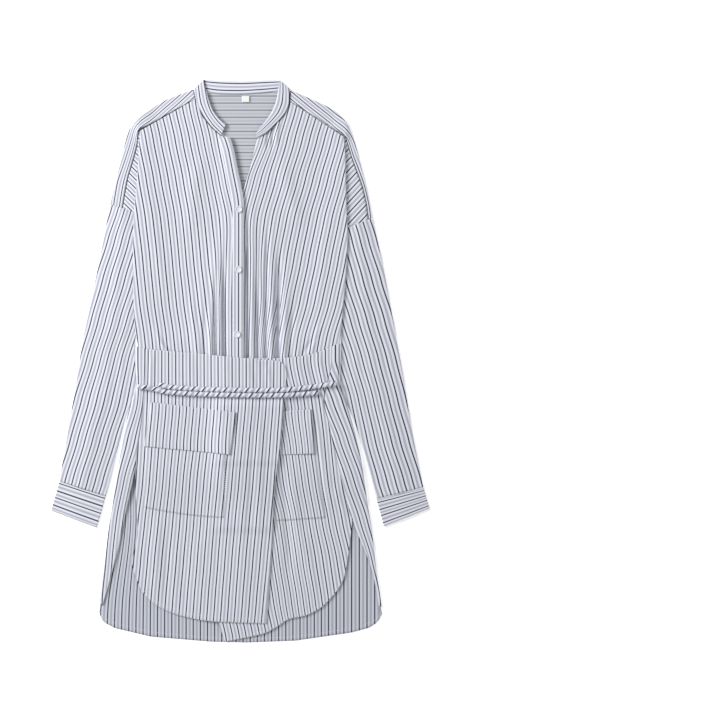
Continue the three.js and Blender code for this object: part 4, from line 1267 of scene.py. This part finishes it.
@dataclass
class Collar:
    """The collar stand, and the blank label inside the neck.

    Attributes:
        label_x: middle of the label across.
        label_y: its middle along.
        label_width: its width.
        label_height: its height.
        length: length of the stand.
    """

    label_x: float = 9.9
    label_y: float = 419.6
    label_width: float = 12.0
    label_height: float = 10.0
    length: float = 420.0

    def build(self, wardrobe: Wardrobe, thread: Stitching) -> None:
        """Builds the stand, its stitches and the label.

        Args:
            wardrobe: the materials.
            thread: collects the stitch lines.
        """
        s, t = across_down(10, COLLAR_STEPS * (len(COLLAR) - 1))
        row = rows_at(COLLAR, t)
        x, y = mix(row["sx"], row["ex"], s), mix(row["sy"], row["ey"], s)
        z = mix(row["sz"], row["ez"], s) + 0.35 * plateau(0, 0.25, 0.75, 1, s)
        start = np.interp(t * (len(COLLAR) - 1), *COLLAR_PHASE)
        patch = Patch(x, y, z, (s - start) * COLLAR_WIDTH / REPEAT, t * self.length)
        faces = (wardrobe.cloth[Face.RIGHT], wardrobe.cloth[Face.RIGHT])
        piece = cloth_object("collar_stand", [patch], faces)
        seat(piece, "striped_poplin", "collar_stand")
        front_rows = 5 * COLLAR_STEPS
        for part in (slice(0, front_rows), slice(-front_rows, None)):
            for k in (1, 9):
                thread.along(x[part, k], y[part, k], z[part, k] + SHELL / 2)
        self._label(wardrobe)

    def _label(self, wardrobe: Wardrobe) -> None:
        """Builds the blank neck label.

        Args:
            wardrobe: the materials.
        """
        s, t = across_down(12, 10)
        x = self.label_x + (s - 0.5) * self.label_width
        y = self.label_y + (0.5 - t) * self.label_height
        z = np.full_like(x, REST + LAYER - 0.2) + 0.25 * np.sin(math.pi * t)
        piece = cloth_object("neck_label", [Patch(x, y, z, s, y)], [wardrobe.label], shell=0.6)
        seat(piece, "label_tape", "neck_label")


# Sleeves and cuffs

class TubeRow(NamedTuple):
    """A section of a flattened tube: o its outer edge, i its inner edge."""

    ox: float
    oy: float
    ix: float
    iy: float


SLEEVE_RIGHT = (
    TubeRow(-206.9, 251.4, -166.4, 238.6), TubeRow(-216.5, 200, -160.6, 200),
    TubeRow(-226.4, 149, -160, 149), TubeRow(-237, 97, -160, 97),
    TubeRow(-245, 60, -159, 60), TubeRow(-250.5, 34, -167.3, 34),
    TubeRow(-258, -15, -166.4, -15), TubeRow(-263, -46, -165.2, -46),
    TubeRow(-270, -88, -181.8, -88), TubeRow(-279, -140, -194.5, -140),
    TubeRow(-287.8, -191, -214, -215),
)
SLEEVE_LEFT = (
    TubeRow(212.8, 229.8, 170.5, 212.6), TubeRow(222, 188, 163.4, 175),
    TubeRow(230.4, 148.8, 161, 140), TubeRow(240, 97, 157, 97),
    TubeRow(246, 64, 154.5, 62), TubeRow(251, 36, 162.8, 35),
    TubeRow(260.5, -15, 161.4, -15), TubeRow(265.5, -46, 162, -46),
    TubeRow(272.5, -90, 181.6, -90), TubeRow(281.5, -140, 197.5, -138),
    TubeRow(294, -201, 219.4, -219.4),
)
CUFF_RIGHT = (
    TubeRow(-287.9, -191.5, -214.1, -215.5), TubeRow(-294.5, -215, -221, -240.5),
    TubeRow(-301.1, -237.4, -228.2, -265),
)
CUFF_LEFT = (
    TubeRow(294.4, -202.2, 219.2, -220.4), TubeRow(299, -218.5, 225.2, -242),
    TubeRow(304, -235.2, 231.2, -264),
)


class LongFold(NamedTuple):
    """A soft fold along a tube: its share across at both ends, width and height."""

    start: float
    end: float
    width: float
    height: float
    top: float
    foot: float


SLEEVE_FOLDS = (
    LongFold(0.34, 0.3, 0.10, -0.9, 0.05, 0.7), LongFold(0.62, 0.68, 0.12, -0.7, 0.1, 0.95),
    LongFold(0.2, 0.45, 0.05, 0.6, 0.45, 1.0), LongFold(0.8, 0.72, 0.05, 0.6, 0.3, 0.9),
    LongFold(0.5, 0.52, 0.04, 0.5, 0.6, 1.0), LongFold(0.1, 0.16, 0.04, 0.4, 0.2, 0.6),
)


TUBE_HALF = 40               # grid columns of each of a tube's two layers


@dataclass
class Tube:
    """A sleeve or cuff laid flat.

    Attributes:
        name: the piece's name.
        table: its sections from the top down.
        crown: height between its two layers at the middle.
        folds: soft folds along it.
        girth: not used.
        length: flat length of the cut.
        stripes: a stripe field, or repeats at the top and the end where they run round.
        steps: rows of its grid.
    """

    name: str
    table: tuple[TubeRow, ...]
    crown: float
    folds: tuple[LongFold, ...]
    girth: float
    length: float
    stripes: StripeField | tuple[float, float]
    steps: int

    def build(self, wardrobe: Wardrobe) -> Patch:
        """Builds the tube.

        Args:
            wardrobe: the materials.

        Returns:
            Its patch, for the stitches.
        """
        t = np.linspace(0, 1, self.steps + 1)[:, None]
        row = rows_at(self.table, t[:, 0])
        o = np.stack([row["ox"], row["oy"]])
        way = np.stack([row["ix"], row["iy"]]) - o
        width = np.linalg.norm(way, axis=0)
        way = way / width
        radius = SLEEVE_EDGE / 2
        s = np.linspace(0, 1, TUBE_HALF + 1)
        turn = np.radians(np.linspace(-60, 60, 5))
        span = (width - 2 * radius)[:, None]
        under = radius + span * s[None, :]
        over = under[:, ::-1]
        right_turn = radius + span + radius * np.cos(turn)[None, :]
        left_turn = radius - radius * np.cos(turn)[None, ::-1] + 0 * span
        run = np.hstack([under, right_turn, over, left_turn, under[:, :1]])
        rise = self._rise(s, t)
        low = np.full_like(under, REST)
        turn_z = REST + radius + radius * np.sin(turn)[None, :] + 0 * span
        z = np.hstack([low, turn_z, (REST + rise)[:, ::-1], turn_z[:, ::-1], low[:, :1]])
        x = o[0][:, None] + way[0][:, None] * run
        y = o[1][:, None] + way[1][:, None] * run
        if isinstance(self.stripes, StripeField):
            repeats = self._round(x, y, span, np.pi / 2 - turn)
            along = np.repeat(t * self.length * 1000, run.shape[1], axis=1)
        else:
            repeats = mix(self.stripes[0], self.stripes[1], t) + 0 * run
            along = run
        patch = Patch(x, y, z, repeats, along)
        piece = cloth_object(self.name, [patch], wardrobe.two_sided)
        seat(piece, "striped_poplin", self.name)
        return patch

    def _round(self, x: Array, y: Array, span: Array, turn: Array) -> Array:
        """Counts the stripe repeats round the tube, from the field of its upper layer.

        Args:
            x: places across of the whole tube.
            y: places along.
            span: the upper layer's width at each row.
            turn: angles of the edges' arcs.

        Returns:
            The repeats at each place.
        """
        half = (x.shape[1] - 11) // 2
        upper = self.stripes.count(x[:, half + 5:2 * half + 5], y[:, half + 5:2 * half + 5])
        inner, outer = upper[:, :1], upper[:, -1:]
        way = np.sign(inner - outer)
        arc = turn[None, :] * SLEEVE_EDGE / 2 / REPEAT
        whole = np.pi * SLEEVE_EDGE / 2 / REPEAT
        down = np.linspace(1, 0, half)[None, :] * span / REPEAT
        return np.hstack([inner + way * (whole + down), inner + way * arc, upper,
                          outer - way * arc[:, ::-1], outer - way * whole])

    def _rise(self, s: Array, t: Array) -> Array:
        """Works out the upper layer's height over the lower one.

        Args:
            s: shares across.
            t: shares along.

        Returns:
            The height at each place, in millimetres.
        """
        rise = mix(SLEEVE_EDGE, self.crown, (4 * s * (1 - s)) ** 2)[None, :] + 0 * t
        for fold in self.folds:
            at = mix(fold.start, fold.end, t)
            near = np.exp(-(((s[None, :] - at) / fold.width) ** 2))
            rise = rise + fold.height * near * plateau(
                fold.top - 0.1, fold.top + 0.1, fold.foot - 0.1, fold.foot + 0.1, t)
        return rise


@dataclass
class Sleeves:
    """Both sleeves and their cuffs, whose stripes run round.

    Attributes:
        sleeve_cut: a sleeve's flat size, all round and along, in metres.
        cuff_cut: the same of a cuff.
        cuff_crown: height between a cuff's two layers.
    """

    sleeve_cut: tuple[float, float] = (0.17, 0.47)
    cuff_cut: tuple[float, float] = (0.155, 0.046)
    cuff_crown: float = SLEEVE_EDGE + 1

    def build(self, wardrobe: Wardrobe, thread: Stitching) -> None:
        """Builds both sides.

        Args:
            wardrobe: the materials.
            thread: collects the stitch lines.
        """
        for name, table, stripes in (("sleeve_right", SLEEVE_RIGHT, RIGHT_SLEEVE_STRIPES),
                                     ("sleeve_left", SLEEVE_LEFT, LEFT_SLEEVE_STRIPES)):
            Tube(name, table, SLEEVE_CROWN, SLEEVE_FOLDS, *self.sleeve_cut, stripes,
                 140).build(wardrobe)
        for name, table, ends in (("cuff_right", CUFF_RIGHT, (-4.46, 0.0)),
                                  ("cuff_left", CUFF_LEFT, (-0.72, 3.78))):
            patch = Tube(name, table, self.cuff_crown, (), *self.cuff_cut, ends,
                         24).build(wardrobe)
            upper = slice(TUBE_HALF + 6, 2 * TUBE_HALF + 7)
            for k in (1, -2):
                thread.along(patch.x[k, upper], patch.y[k, upper],
                             patch.z[k, upper] + SHELL / 2)


# The skirt

class SkirtRow(NamedTuple):
    """A section of the skirt's back: l and r its side folds, p and q its front strips."""

    lx: float
    ly: float
    px: float
    py: float
    rx: float
    ry: float
    qx: float
    qy: float
    sag: float


SKIRT_BACK = (
    SkirtRow(-167.2, 24, -149.6, 20.3, 161.6, 28.3, 148, 24, 3),
    SkirtRow(-166.2, -10, -150.6, -12, 160.6, -8, 146.5, -12, 0),
    SkirtRow(-164, -38, -152.2, -42, 160, -37, 139.5, -40, 0),
    SkirtRow(-172.8, -64, -154, -66, 169, -62, 136.5, -66, 0),
    SkirtRow(-180, -95, -156, -96, 179.5, -95, 142.5, -96, 0),
    SkirtRow(-186.4, -127, -160.5, -128, 188, -127, 149.5, -128, 0),
    SkirtRow(-193, -165, -165.4, -166, 196, -165, 158.5, -166, 0),
    SkirtRow(-199, -205, -174, -207, 202, -207, 167.5, -207, 2),
    SkirtRow(-204, -238, -181.6, -240, 207, -240, 176, -238, 4),
    SkirtRow(-209, -268, -187.6, -270, 211.5, -268, 184, -262, 6),
    SkirtRow(-213, -300, -193.8, -300, 215.5, -302, 200.5, -302, 12),
    SkirtRow(-217, -330, -201.9, -330, 219, -335, 211.5, -332, 20),
    SkirtRow(-221, -362, -211, -363, 224, -368, 219, -366, 28),
    SkirtRow(-223.6, -388, -219, -388.6, 227.5, -392, 222.6, -391, 36),
)


class Place(NamedTuple):
    """A place on the floor plan."""

    x: float
    y: float


def places(*pairs: tuple[float, float]) -> tuple[Place, ...]:
    """Returns a boundary table from its pairs."""
    return tuple(Place(*pair) for pair in pairs)


BACK_HEM = places((-225, -400), (-222.5, -410), (-215.5, -418), (-199, -426.5), (-142, -440),
                  (-46, -448), (11, -449.4), (90, -446.4), (179, -433.5), (207, -426),
                  (221, -417), (228, -404))
OVERLAP_LEFT = places((-149.2, 20), (-150.2, -12), (-151.8, -42), (-153.5, -66),
                      (-155.5, -96), (-160, -128), (-164.8, -166), (-165.6, -207),
                      (-163.8, -240), (-162, -272), (-166, -296), (-171, -318),
                      (-169, -334), (-158.6, -361.6))
OVERLAP_EDGE = places((73, -7), (75.4, -20), (73.4, -45), (70.4, -64), (69, -90), (67, -120),
                      (62.6, -155), (58, -190), (55, -225), (53.4, -262), (52, -300),
                      (49.6, -340), (46.6, -380), (43.7, -418.6))
OVERLAP_TOP = places((-149.2, 20), (-107, 16.2), (-40, 10.2), (27, 3.7), (56.8, 1.6),
                     (67, -1.2), (73, -7))
OVERLAP_HEM = places((-158.6, -361.6), (-149, -375), (-134.4, -388.2), (-114, -399),
                     (-91, -407), (-62, -413), (-30, -416), (43.7, -418.6))
UNDERLAP_EDGE = places((-20.8, 6.6), (-22.5, -60), (-25.5, -130), (-28.5, -200),
                       (-31, -270), (-33, -340), (-35, -408), (-23.4, -447))
UNDERLAP_SIDE = places((147.6, 24), (146.1, -12), (138, -40), (134.4, -66), (142.1, -96),
                       (149.1, -128), (158.1, -166), (167.1, -207), (175.4, -238),
                       (180, -254), (177.3, -284), (172.8, -318.4), (166.9, -346.6))
UNDERLAP_TOP = places((-20.8, 6.6), (50, 5), (84, 7), (110, 10.4), (135, 18.4), (147.6, 24))
UNDERLAP_HEM = places((-23.4, -447), (-9, -444.8), (37.6, -435), (60, -423.7), (79, -411.6),
                      (107, -405.4), (132, -391.7), (154.7, -367.4), (166.9, -346.6))


def inside_four(left: tuple[Place, ...], right: tuple[Place, ...], top: tuple[Place, ...],
                foot: tuple[Place, ...], s: Array, t: Array) -> tuple[Array, Array]:
    """Lays out places inside four boundary tables that meet at their corners.

    Args:
        left: boundary at s = 0, from the top.
        right: boundary at s = 1, from the top.
        top: boundary at t = 0, from the left.
        foot: boundary at t = 1, from the left.
        s: shares across.
        t: shares down.

    Returns:
        The places across and along.
    """
    l, r, a, b = rows_at(left, t), rows_at(right, t), rows_at(top, s), rows_at(foot, s)
    out = []
    for key, k in (("x", 0), ("y", 1)):
        corner = mix(mix(left[0][k], right[0][k], s), mix(left[-1][k], right[-1][k], s), t)
        out.append(mix(l[key], r[key], s) + mix(a[key], b[key], t) - corner)
    return out[0], out[1]


@dataclass
class Skirt:
    """The wrap skirt: back with its side strips, underlap and overlap.

    Attributes:
        top_in: how far the stitches lie inside the waist's edge.
    """

    top_in: float = 1.4

    def build(self, wardrobe: Wardrobe, thread: Stitching) -> None:
        """Builds the skirt and its hem stitching.

        Args:
            wardrobe: the materials.
            thread: collects the stitch lines.
        """
        self._back(wardrobe, thread)
        self._front(wardrobe, thread, "skirt_front_underlap", UNDERLAP_EDGE, UNDERLAP_SIDE,
                    UNDERLAP_TOP, UNDERLAP_HEM, underlap_height, UNDERLAP_STRIPES)
        self._front(wardrobe, thread, "skirt_front_overlap", OVERLAP_LEFT, OVERLAP_EDGE,
                    OVERLAP_TOP, OVERLAP_HEM, overlap_height, OVERLAP_STRIPES)

    def _front(self, wardrobe: Wardrobe, thread: Stitching, name: str,
               left: tuple[Place, ...], right: tuple[Place, ...], top: tuple[Place, ...],
               foot: tuple[Place, ...], height: Height, stripes: StripeField) -> None:
        """Builds one front of the skirt between its four boundaries.

        Args:
            wardrobe: the materials.
            thread: collects the stitch lines.
            name: the piece's name.
            left: its left boundary, from the top.
            right: its right boundary, from the top.
            top: its upper boundary, from the left.
            foot: its hem, from the left.
            height: its height.
            stripes: its stripe field.
        """
        s, t = across_down(90, 150)
        x, y = inside_four(left, right, top, foot, s, t)
        z = height(x, y)
        patch = Patch(x, y, z, stripes.count(x, y), y)
        piece = cloth_object(name, [patch], wardrobe.two_sided)
        seat(piece, "striped_poplin", name)
        for k in (-4, -1):
            thread.along(x[k], y[k], z[k] + SHELL / 2)
        side = 2 if name.endswith("underlap") else -3
        thread.along(x[:, side], y[:, side], z[:, side] + SHELL / 2)
        thread.along(x[0], y[0] - self.top_in, z[0] + SHELL / 2)

    def _back(self, wardrobe: Wardrobe, thread: Stitching) -> None:
        """Builds the back with the strips that come round to the front.

        Args:
            wardrobe: the materials.
            thread: collects the stitch lines.
        """
        t = np.linspace(0, 1, 10 * (len(SKIRT_BACK) - 1) + 1)
        row = rows_at(SKIRT_BACK, t)
        right = self._side(row["lx"], row["ly"], row["px"], row["py"], RIGHT_STRIP_STRIPES)
        left = self._side(row["rx"], row["ry"], row["qx"], row["qy"], LEFT_STRIP_STRIPES)
        s = np.linspace(0, 1, 91)[None, :]
        x = mix(right.x[:, -1:], left.x[:, -1:], s)
        y = mix(right.y[:, -1:], left.y[:, -1:], s) - row["sag"][:, None] * 4 * s * (1 - s)
        hem_x = mix(BACK_HEM[0].x, BACK_HEM[-1].x, s)
        hem_y = np.interp(hem_x, [p.x for p in BACK_HEM], [p.y for p in BACK_HEM])
        down = np.linspace(0, 1, 9)[1:, None]
        x = np.vstack([x, mix(x[-1:], hem_x, down)])
        y = np.vstack([y, mix(y[-1:], hem_y, down)])
        back = Patch(x, y, np.full_like(x, REST), SKIRT_BACK_STRIPES.count(x, y), y)
        # The back layer shows the wrong side, whose colours carry painted shade.
        piece = cloth_object("skirt_back", [right, left, back], wardrobe.two_sided)
        seat(piece, "striped_poplin", "skirt_back")
        thread.along(x[-3], y[-3], np.full_like(x[-3], REST + SHELL / 2))
        for side in (right, left):
            for k in (0, 1):
                thread.along(side.x[60:, k], side.y[60:, k], side.z[60:, k] + SHELL / 2)

    @staticmethod
    def _side(fold_x: Array, fold_y: Array, edge_x: Array, edge_y: Array,
              stripes: StripeField) -> Patch:
        """Lays out a front strip and its fold, from the strip's edge to the floor.

        Args:
            fold_x: places across of the side fold.
            fold_y: its places along.
            edge_x: places across of the strip's free edge.
            edge_y: its places along.
            stripes: its stripe field.

        Returns:
            The patch.
        """
        z = skirt_height(fold_y)
        radius = (z - REST) / 2
        out = np.sign(fold_x)
        reach = np.minimum(radius, np.abs(fold_x - edge_x) * 0.8)
        inner = fold_x - out * reach
        s = np.linspace(0, 1, 9)[None, :-1]
        angles = np.radians(np.linspace(90, -90, 11))[None, :]
        x = np.hstack([mix(edge_x[:, None], inner[:, None], s),
                       inner[:, None] + (out * reach)[:, None] * np.cos(angles)])
        y = np.hstack([mix(edge_y[:, None], fold_y[:, None], s),
                       np.repeat(fold_y[:, None], 11, axis=1)])
        turn = ((z + REST) / 2)[:, None] + radius[:, None] * np.sin(angles)
        heights = np.hstack([np.repeat(z[:, None], 8, axis=1), turn])
        flat = stripes.count(x[:, :8], y[:, :8])
        edge = stripes.count(x[:, 8:9], y[:, 8:9])
        arc = radius[:, None] * (math.pi / 2 - angles)
        repeats = np.hstack([flat, edge + out[:, None] * arc / REPEAT])
        return Patch(x, y, heights, repeats, y)


# Pockets and flaps

@dataclass
class PatchPiece:
    """A pocket or flap that lies on one of the skirt's fronts.

    Attributes:
        name: the piece's name.
        carrier: height of the front that carries it.
        layers: layers that it lies above the carrier.
        bow: sag of its lower edge.
        corners: its four corners, from the top left round.
        stripes: its stripe field.
        host: not used.
        stitched: its sewn sides.
        gape: how far its free side edge stands up.
        sewn: height of its edges over the carrier.
    """

    name: str
    carrier: Height
    layers: float
    bow: float
    corners: tuple[tuple[float, float], ...]
    stripes: StripeField
    host: str
    stitched: tuple[str, ...] = ("left", "right", "foot")
    gape: float = 0.0
    sewn: float = 0.4

    def build(self, wardrobe: Wardrobe, thread: Stitching) -> None:
        """Builds the piece and its stitching.

        Args:
            wardrobe: the materials.
            thread: collects the stitch lines.
        """
        (ax, ay), (bx, by), (cx, cy), (dx, dy) = self.corners
        s, t = across_down(44, 44)
        x = mix(mix(ax, bx, s), mix(dx, cx, s), t)
        y = mix(mix(ay, by, s), mix(dy, cy, s), t) - self.bow * t * 4 * s * (1 - s)
        pressed = 1 - plateau(0, 0.08, 0.92, 1, s) * (1 - smooth(0.9, 1, t))
        z = (self.carrier(x, y) + mix(self.layers, self.sewn, pressed)
             + self.gape * smooth(0.7, 1, s) * smooth(0, 0.3, t))
        patch = Patch(x, y, z, self.stripes.count(x, y), y)
        piece = cloth_object(self.name, [patch], wardrobe.two_sided, shell=PATCH_SHELL)
        seat(piece, "striped_poplin", self.name)
        lines = {"left": (slice(None), 0), "right": (slice(None), -1), "foot": (-1, slice(None)),
                 "top": (1, slice(None))}
        for side in self.stitched:
            cut = lines[side]
            thread.along(x[cut], y[cut], z[cut] + SHELL / 2)


PATCH_PIECES = (
    PatchPiece("pocket_right", overlap_height, 0.7, 3.0,
               ((-148, -66), (-18, -78), (-25.1, -250), (-151.4, -233.6)), OVERLAP_STRIPES,
               "skirt_front_overlap"),
    PatchPiece("flap_right", overlap_height, 2.0, 0.0,
               ((-140.8, -65), (-3.8, -81), (-13.6, -148.3), (-152, -135.7)), RIGHT_FLAP_STRIPES,
               "pocket_right", ("top",), 0.4, 1.7),
    PatchPiece("pocket_left", underlap_height, 0.7, 1.0,
               ((-4.8, -82), (118.4, -76), (138, -250), (6.4, -257)), UNDERLAP_STRIPES,
               "skirt_front_underlap"),
    PatchPiece("flap_left", underlap_height, 2.0, 0.0,
               ((-14, -84), (116.6, -76.2), (119.6, -147), (-14, -152)), LEFT_FLAP_STRIPES,
               "pocket_left", ("top",), 1.8, 1.7),
)


# The belt

BELT_LOWER = ((-163, -40), (-140, -42.5), (-115, -48.4), (-62, -51.9), (-14, -53.2), (34, -54),
              (76, -53.4), (102, -51.8), (127, -49.8))
BELT_UPPER = ((-128, -36.4), (-110, -40.6), (-62, -44), (-14, -45.2), (34, -45.9), (76, -45),
              (102, -42.4), (122, -39.6), (146, -36.3), (156, -35))


@dataclass
class Belt:
    """The belt: two twisted ropes of the dress's cloth, side by side.

    Attributes:
        radius: mean radius of a rope.
        lobe: how far its two strands stand out.
        pitch: length of one turn of the twist.
        flat: share of its width that is its height.
    """

    radius: float = 3.6
    lobe: float = 0.55
    pitch: float = 17.2
    flat: float = 0.85

    def build(self, wardrobe: Wardrobe) -> None:
        """Builds both ropes.

        Args:
            wardrobe: the materials.
        """
        for name, route, phase in (("belt_lower", BELT_LOWER, 0.0),
                                   ("belt_upper", BELT_UPPER, 0.5)):
            self._rope(name, route, phase, wardrobe)

    def _centre(self, route: tuple[tuple[float, float], ...]) -> Array:
        """Lays a rope's middle on the skirt.

        Args:
            route: the rope's listed places.

        Returns:
            The places, in even steps.
        """
        table = places(*route)
        t = np.linspace(0, 1, 40 * len(route))
        row = rows_at(table, t)
        x, y = row["x"], row["y"]
        on_top = mix(overlap_height(np.minimum(x, 70.0), y), underlap_height(x, y),
                     smooth(72, 100, x))
        z = on_top + 0.8 + self.flat * (self.radius + self.lobe)
        points = np.stack([x, y, z], axis=-1)
        run = np.concatenate([[0], np.cumsum(np.linalg.norm(np.diff(points, axis=0), axis=1))])
        even = np.linspace(0, run[-1], int(run[-1] / 0.8))
        return np.stack([np.interp(even, run, points[:, k]) for k in range(3)], axis=-1)

    def _rope(self, name: str, route: tuple[tuple[float, float], ...], phase: float,
              wardrobe: Wardrobe) -> None:
        """Builds one rope with its twist and the slanting stripes of its strands.

        Args:
            name: the piece's name.
            route: the rope's listed places.
            phase: repeats of the stripe at its start.
            wardrobe: the materials.
        """
        centre = self._centre(route)
        run = np.concatenate([[0], np.cumsum(np.linalg.norm(np.diff(centre, axis=0), axis=1))])
        way = np.gradient(centre, axis=0)
        way /= np.linalg.norm(way, axis=1)[:, None]
        side = np.stack([-way[:, 1], way[:, 0], 0 * run], axis=-1)
        side /= np.linalg.norm(side, axis=1)[:, None]
        over = np.cross(way, side)
        angles = np.radians(np.linspace(0, 360, 33))[None, :]
        twist = (2 * math.pi * run / self.pitch)[:, None]
        end = np.minimum(run, run[-1] - run)[:, None]
        close = np.sqrt(np.clip(end / 2.2, 0.05, 1.0))
        lobe = np.abs(np.cos(angles + twist)) ** 0.7
        radius = (self.radius - self.lobe + 2 * self.lobe * lobe) * close
        spot = (centre[:, None, :] + side[:, None, :] * (radius * np.cos(angles))[..., None]
                + over[:, None, :] * (self.flat * radius * np.sin(angles))[..., None])
        repeats = run[:, None] / self.pitch + angles / (2 * math.pi) + phase
        along = angles * self.radius + 0 * twist
        patch = Patch(spot[..., 0], spot[..., 1], spot[..., 2], repeats, along)
        bm = bmesh.new()
        add_patch(bm, patch)
        bmesh.ops.remove_doubles(bm, verts=bm.verts, dist=0.00002)
        bmesh.ops.holes_fill(bm, edges=[e for e in bm.edges if e.is_boundary], sides=0)
        bmesh.ops.recalc_face_normals(bm, faces=bm.faces)
        piece = finish_mesh(name, bm, [wardrobe.cloth[Face.RIGHT]])
        seat(piece, "striped_poplin", name)


# Buttons

@dataclass
class Buttons:
    """Four-hole shirt buttons sewn to the placket.

    Attributes:
        radius: a button's radius.
        thickness: its thickness.
        hole: radius of a hole.
        pitch: distance of a hole from the middle.
        spots: places of the buttons.
    """

    radius: float = 5.5
    thickness: float = 2.2
    hole: float = 0.75
    pitch: float = 1.35
    spots: tuple[tuple[float, float], ...] = ((-0.6, 243), (-1.3, 146.7), (-3.4, 43.2))

    def build(self, wardrobe: Wardrobe) -> None:
        """Builds each button with its thread.

        Args:
            wardrobe: the materials.
        """
        for k, (x, y) in enumerate(self.spots, start=1):
            spread = np.array([-5.0, 0.0, 5.0])
            base = float(np.max(placket_height(x + spread, y + 0 * spread))) + REST + 0.3
            self._button(f"button_{k}", x, y, base, wardrobe)

    def _button(self, name: str, x: float, y: float, base: float, wardrobe: Wardrobe) -> None:
        """Builds one button by spinning its profile, and its thread.

        Args:
            name: the piece's name.
            x: its place across.
            y: its place along.
            base: height of its underside.
            wardrobe: the materials.
        """
        profile = ((0.0, 0.5), (0.5, 0.52), (0.62, 0.66), (0.74, 0.94), (0.84, 1.0),
                   (0.94, 0.96), (1.0, 0.72), (1.0, 0.35), (0.9, 0.05), (0.0, 0.0))
        bm = bmesh.new()
        verts = [bm.verts.new((r * self.radius * MM, 0, z * self.thickness * MM))
                 for r, z in profile]
        edges = [bm.edges.new(pair) for pair in zip(verts, verts[1:])]
        bmesh.ops.spin(bm, geom=verts + edges, cent=(0, 0, 0), axis=(0, 0, 1),
                       angle=2 * math.pi, steps=48, use_duplicate=False)
        bmesh.ops.remove_doubles(bm, verts=bm.verts, dist=0.00001)
        bmesh.ops.recalc_face_normals(bm, faces=bm.faces)
        at = Vector(((x - CENTRE[0]) * MM, (y - CENTRE[1]) * MM, base * MM))
        bmesh.ops.translate(bm, verts=bm.verts, vec=at)
        piece = finish_mesh(name, bm, [wardrobe.button])
        seat(piece, "button_resin", name)
        self._thread(name + "_thread", at, wardrobe)

    def _thread(self, name: str, at: Vector, wardrobe: Wardrobe) -> None:
        """Builds the sewing thread where it fills the four holes.

        Args:
            name: the piece's name.
            at: the button's foot, in metres.
            wardrobe: the materials.
        """
        bm = bmesh.new()
        top = at + Vector((0, 0, 0.52 * self.thickness * MM))
        for turn in (0.25, 0.75, 1.25, 1.75):
            spot = Vector((math.cos(turn * math.pi), math.sin(turn * math.pi), 0))
            made = bmesh.ops.create_icosphere(bm, subdivisions=2, radius=self.hole * MM)
            for vert in made["verts"]:
                vert.co.z *= 0.35
                vert.co += top + spot * self.pitch * MM
        piece = finish_mesh(name, bm, [wardrobe.thread])
        seat(piece, "button_resin")


# Studio

@dataclass
class Studio:
    """Floor, light and camera.

    Attributes:
        distance: height of the camera over the floor, in metres.
        view: width of the view at the floor, in metres.
        middle: the photograph's middle pixel, counted from 0.
        floor: colour of the floor.
    """

    distance: float = 3.2
    view: float = 720 * PIXEL * MM
    middle: float = 359.5
    floor: str = "#fbfbfc"

    def build(self) -> None:
        """Builds the floor, the light and the camera that looks straight down."""
        centre = Vector((((self.middle - PHOTO_X0) * PIXEL - CENTRE[0]) * MM,
                         ((PHOTO_Y0 - self.middle) * PIXEL - CENTRE[1]) * MM, 0))
        self._floor(centre)
        self._lights(centre)
        data = bpy.data.cameras.new("camera")
        data.sensor_width = 36.0
        data.lens = data.sensor_width * self.distance / self.view
        camera = bpy.data.objects.new("camera", data)
        camera.location = centre + Vector((0, 0, self.distance))
        bpy.context.scene.collection.objects.link(camera)
        bpy.context.scene.camera = camera

    def _floor(self, centre: Vector) -> None:
        """Builds the plain pale floor.

        Args:
            centre: the view's middle on the floor.
        """
        bm = bmesh.new()
        bmesh.ops.create_grid(bm, x_segments=1, y_segments=1, size=6.0)
        material = bpy.data.materials.new("floor_paper")
        material.use_nodes = True
        shader = material.node_tree.nodes["Principled BSDF"]
        shader.inputs["Base Color"].default_value = linear(self.floor)
        shader.inputs["Roughness"].default_value = 0.9
        shader.inputs["Emission Color"].default_value = linear("#ffffff")
        shader.inputs["Emission Strength"].default_value = 0.4
        floor = finish_mesh("floor", bm, [material])
        floor.location = centre

    def _lights(self, centre: Vector) -> None:
        """Sets a soft key from the upper left, a fill and an even surround.

        Args:
            centre: the view's middle on the floor.
        """
        world = bpy.data.worlds.new("surround")
        world.use_nodes = True
        world.node_tree.nodes["Background"].inputs["Color"].default_value = linear("#ffffff")
        world.node_tree.nodes["Background"].inputs["Strength"].default_value = 0.4
        bpy.context.scene.world = world
        for name, place, size, power in (("key", (-1.8, 0.9, 1.3), 1.0, 42.0),
                                         ("fill", (1.9, -0.7, 2.2), 2.0, 8.0)):
            data = bpy.data.lights.new(name, "AREA")
            data.size = size
            data.energy = power
            light = bpy.data.objects.new(name, data)
            light.location = centre + Vector(place)
            light.rotation_euler = (-Vector(place)).to_track_quat("-Z", "Y").to_euler()
            bpy.context.scene.collection.objects.link(light)
        bpy.context.scene.view_settings.view_transform = "Standard"


def main() -> None:
    """Builds the dress piece by piece, then the studio."""
    logging.basicConfig(level=logging.INFO, format="%(name)s: %(message)s")
    wardrobe = Wardrobe()
    thread = Stitching()
    ShirtBody().build(wardrobe, thread)
    Yoke().build(wardrobe, thread)
    Collar().build(wardrobe, thread)
    Sleeves().build(wardrobe, thread)
    Skirt().build(wardrobe, thread)
    for piece in PATCH_PIECES:
        piece.build(wardrobe, thread)
    Belt().build(wardrobe)
    Buttons().build(wardrobe)
    stitches = thread.build("stitching", wardrobe.thread)
    seat(stitches, "striped_poplin")
    Studio().build()


if __name__ == "__main__":
    main()
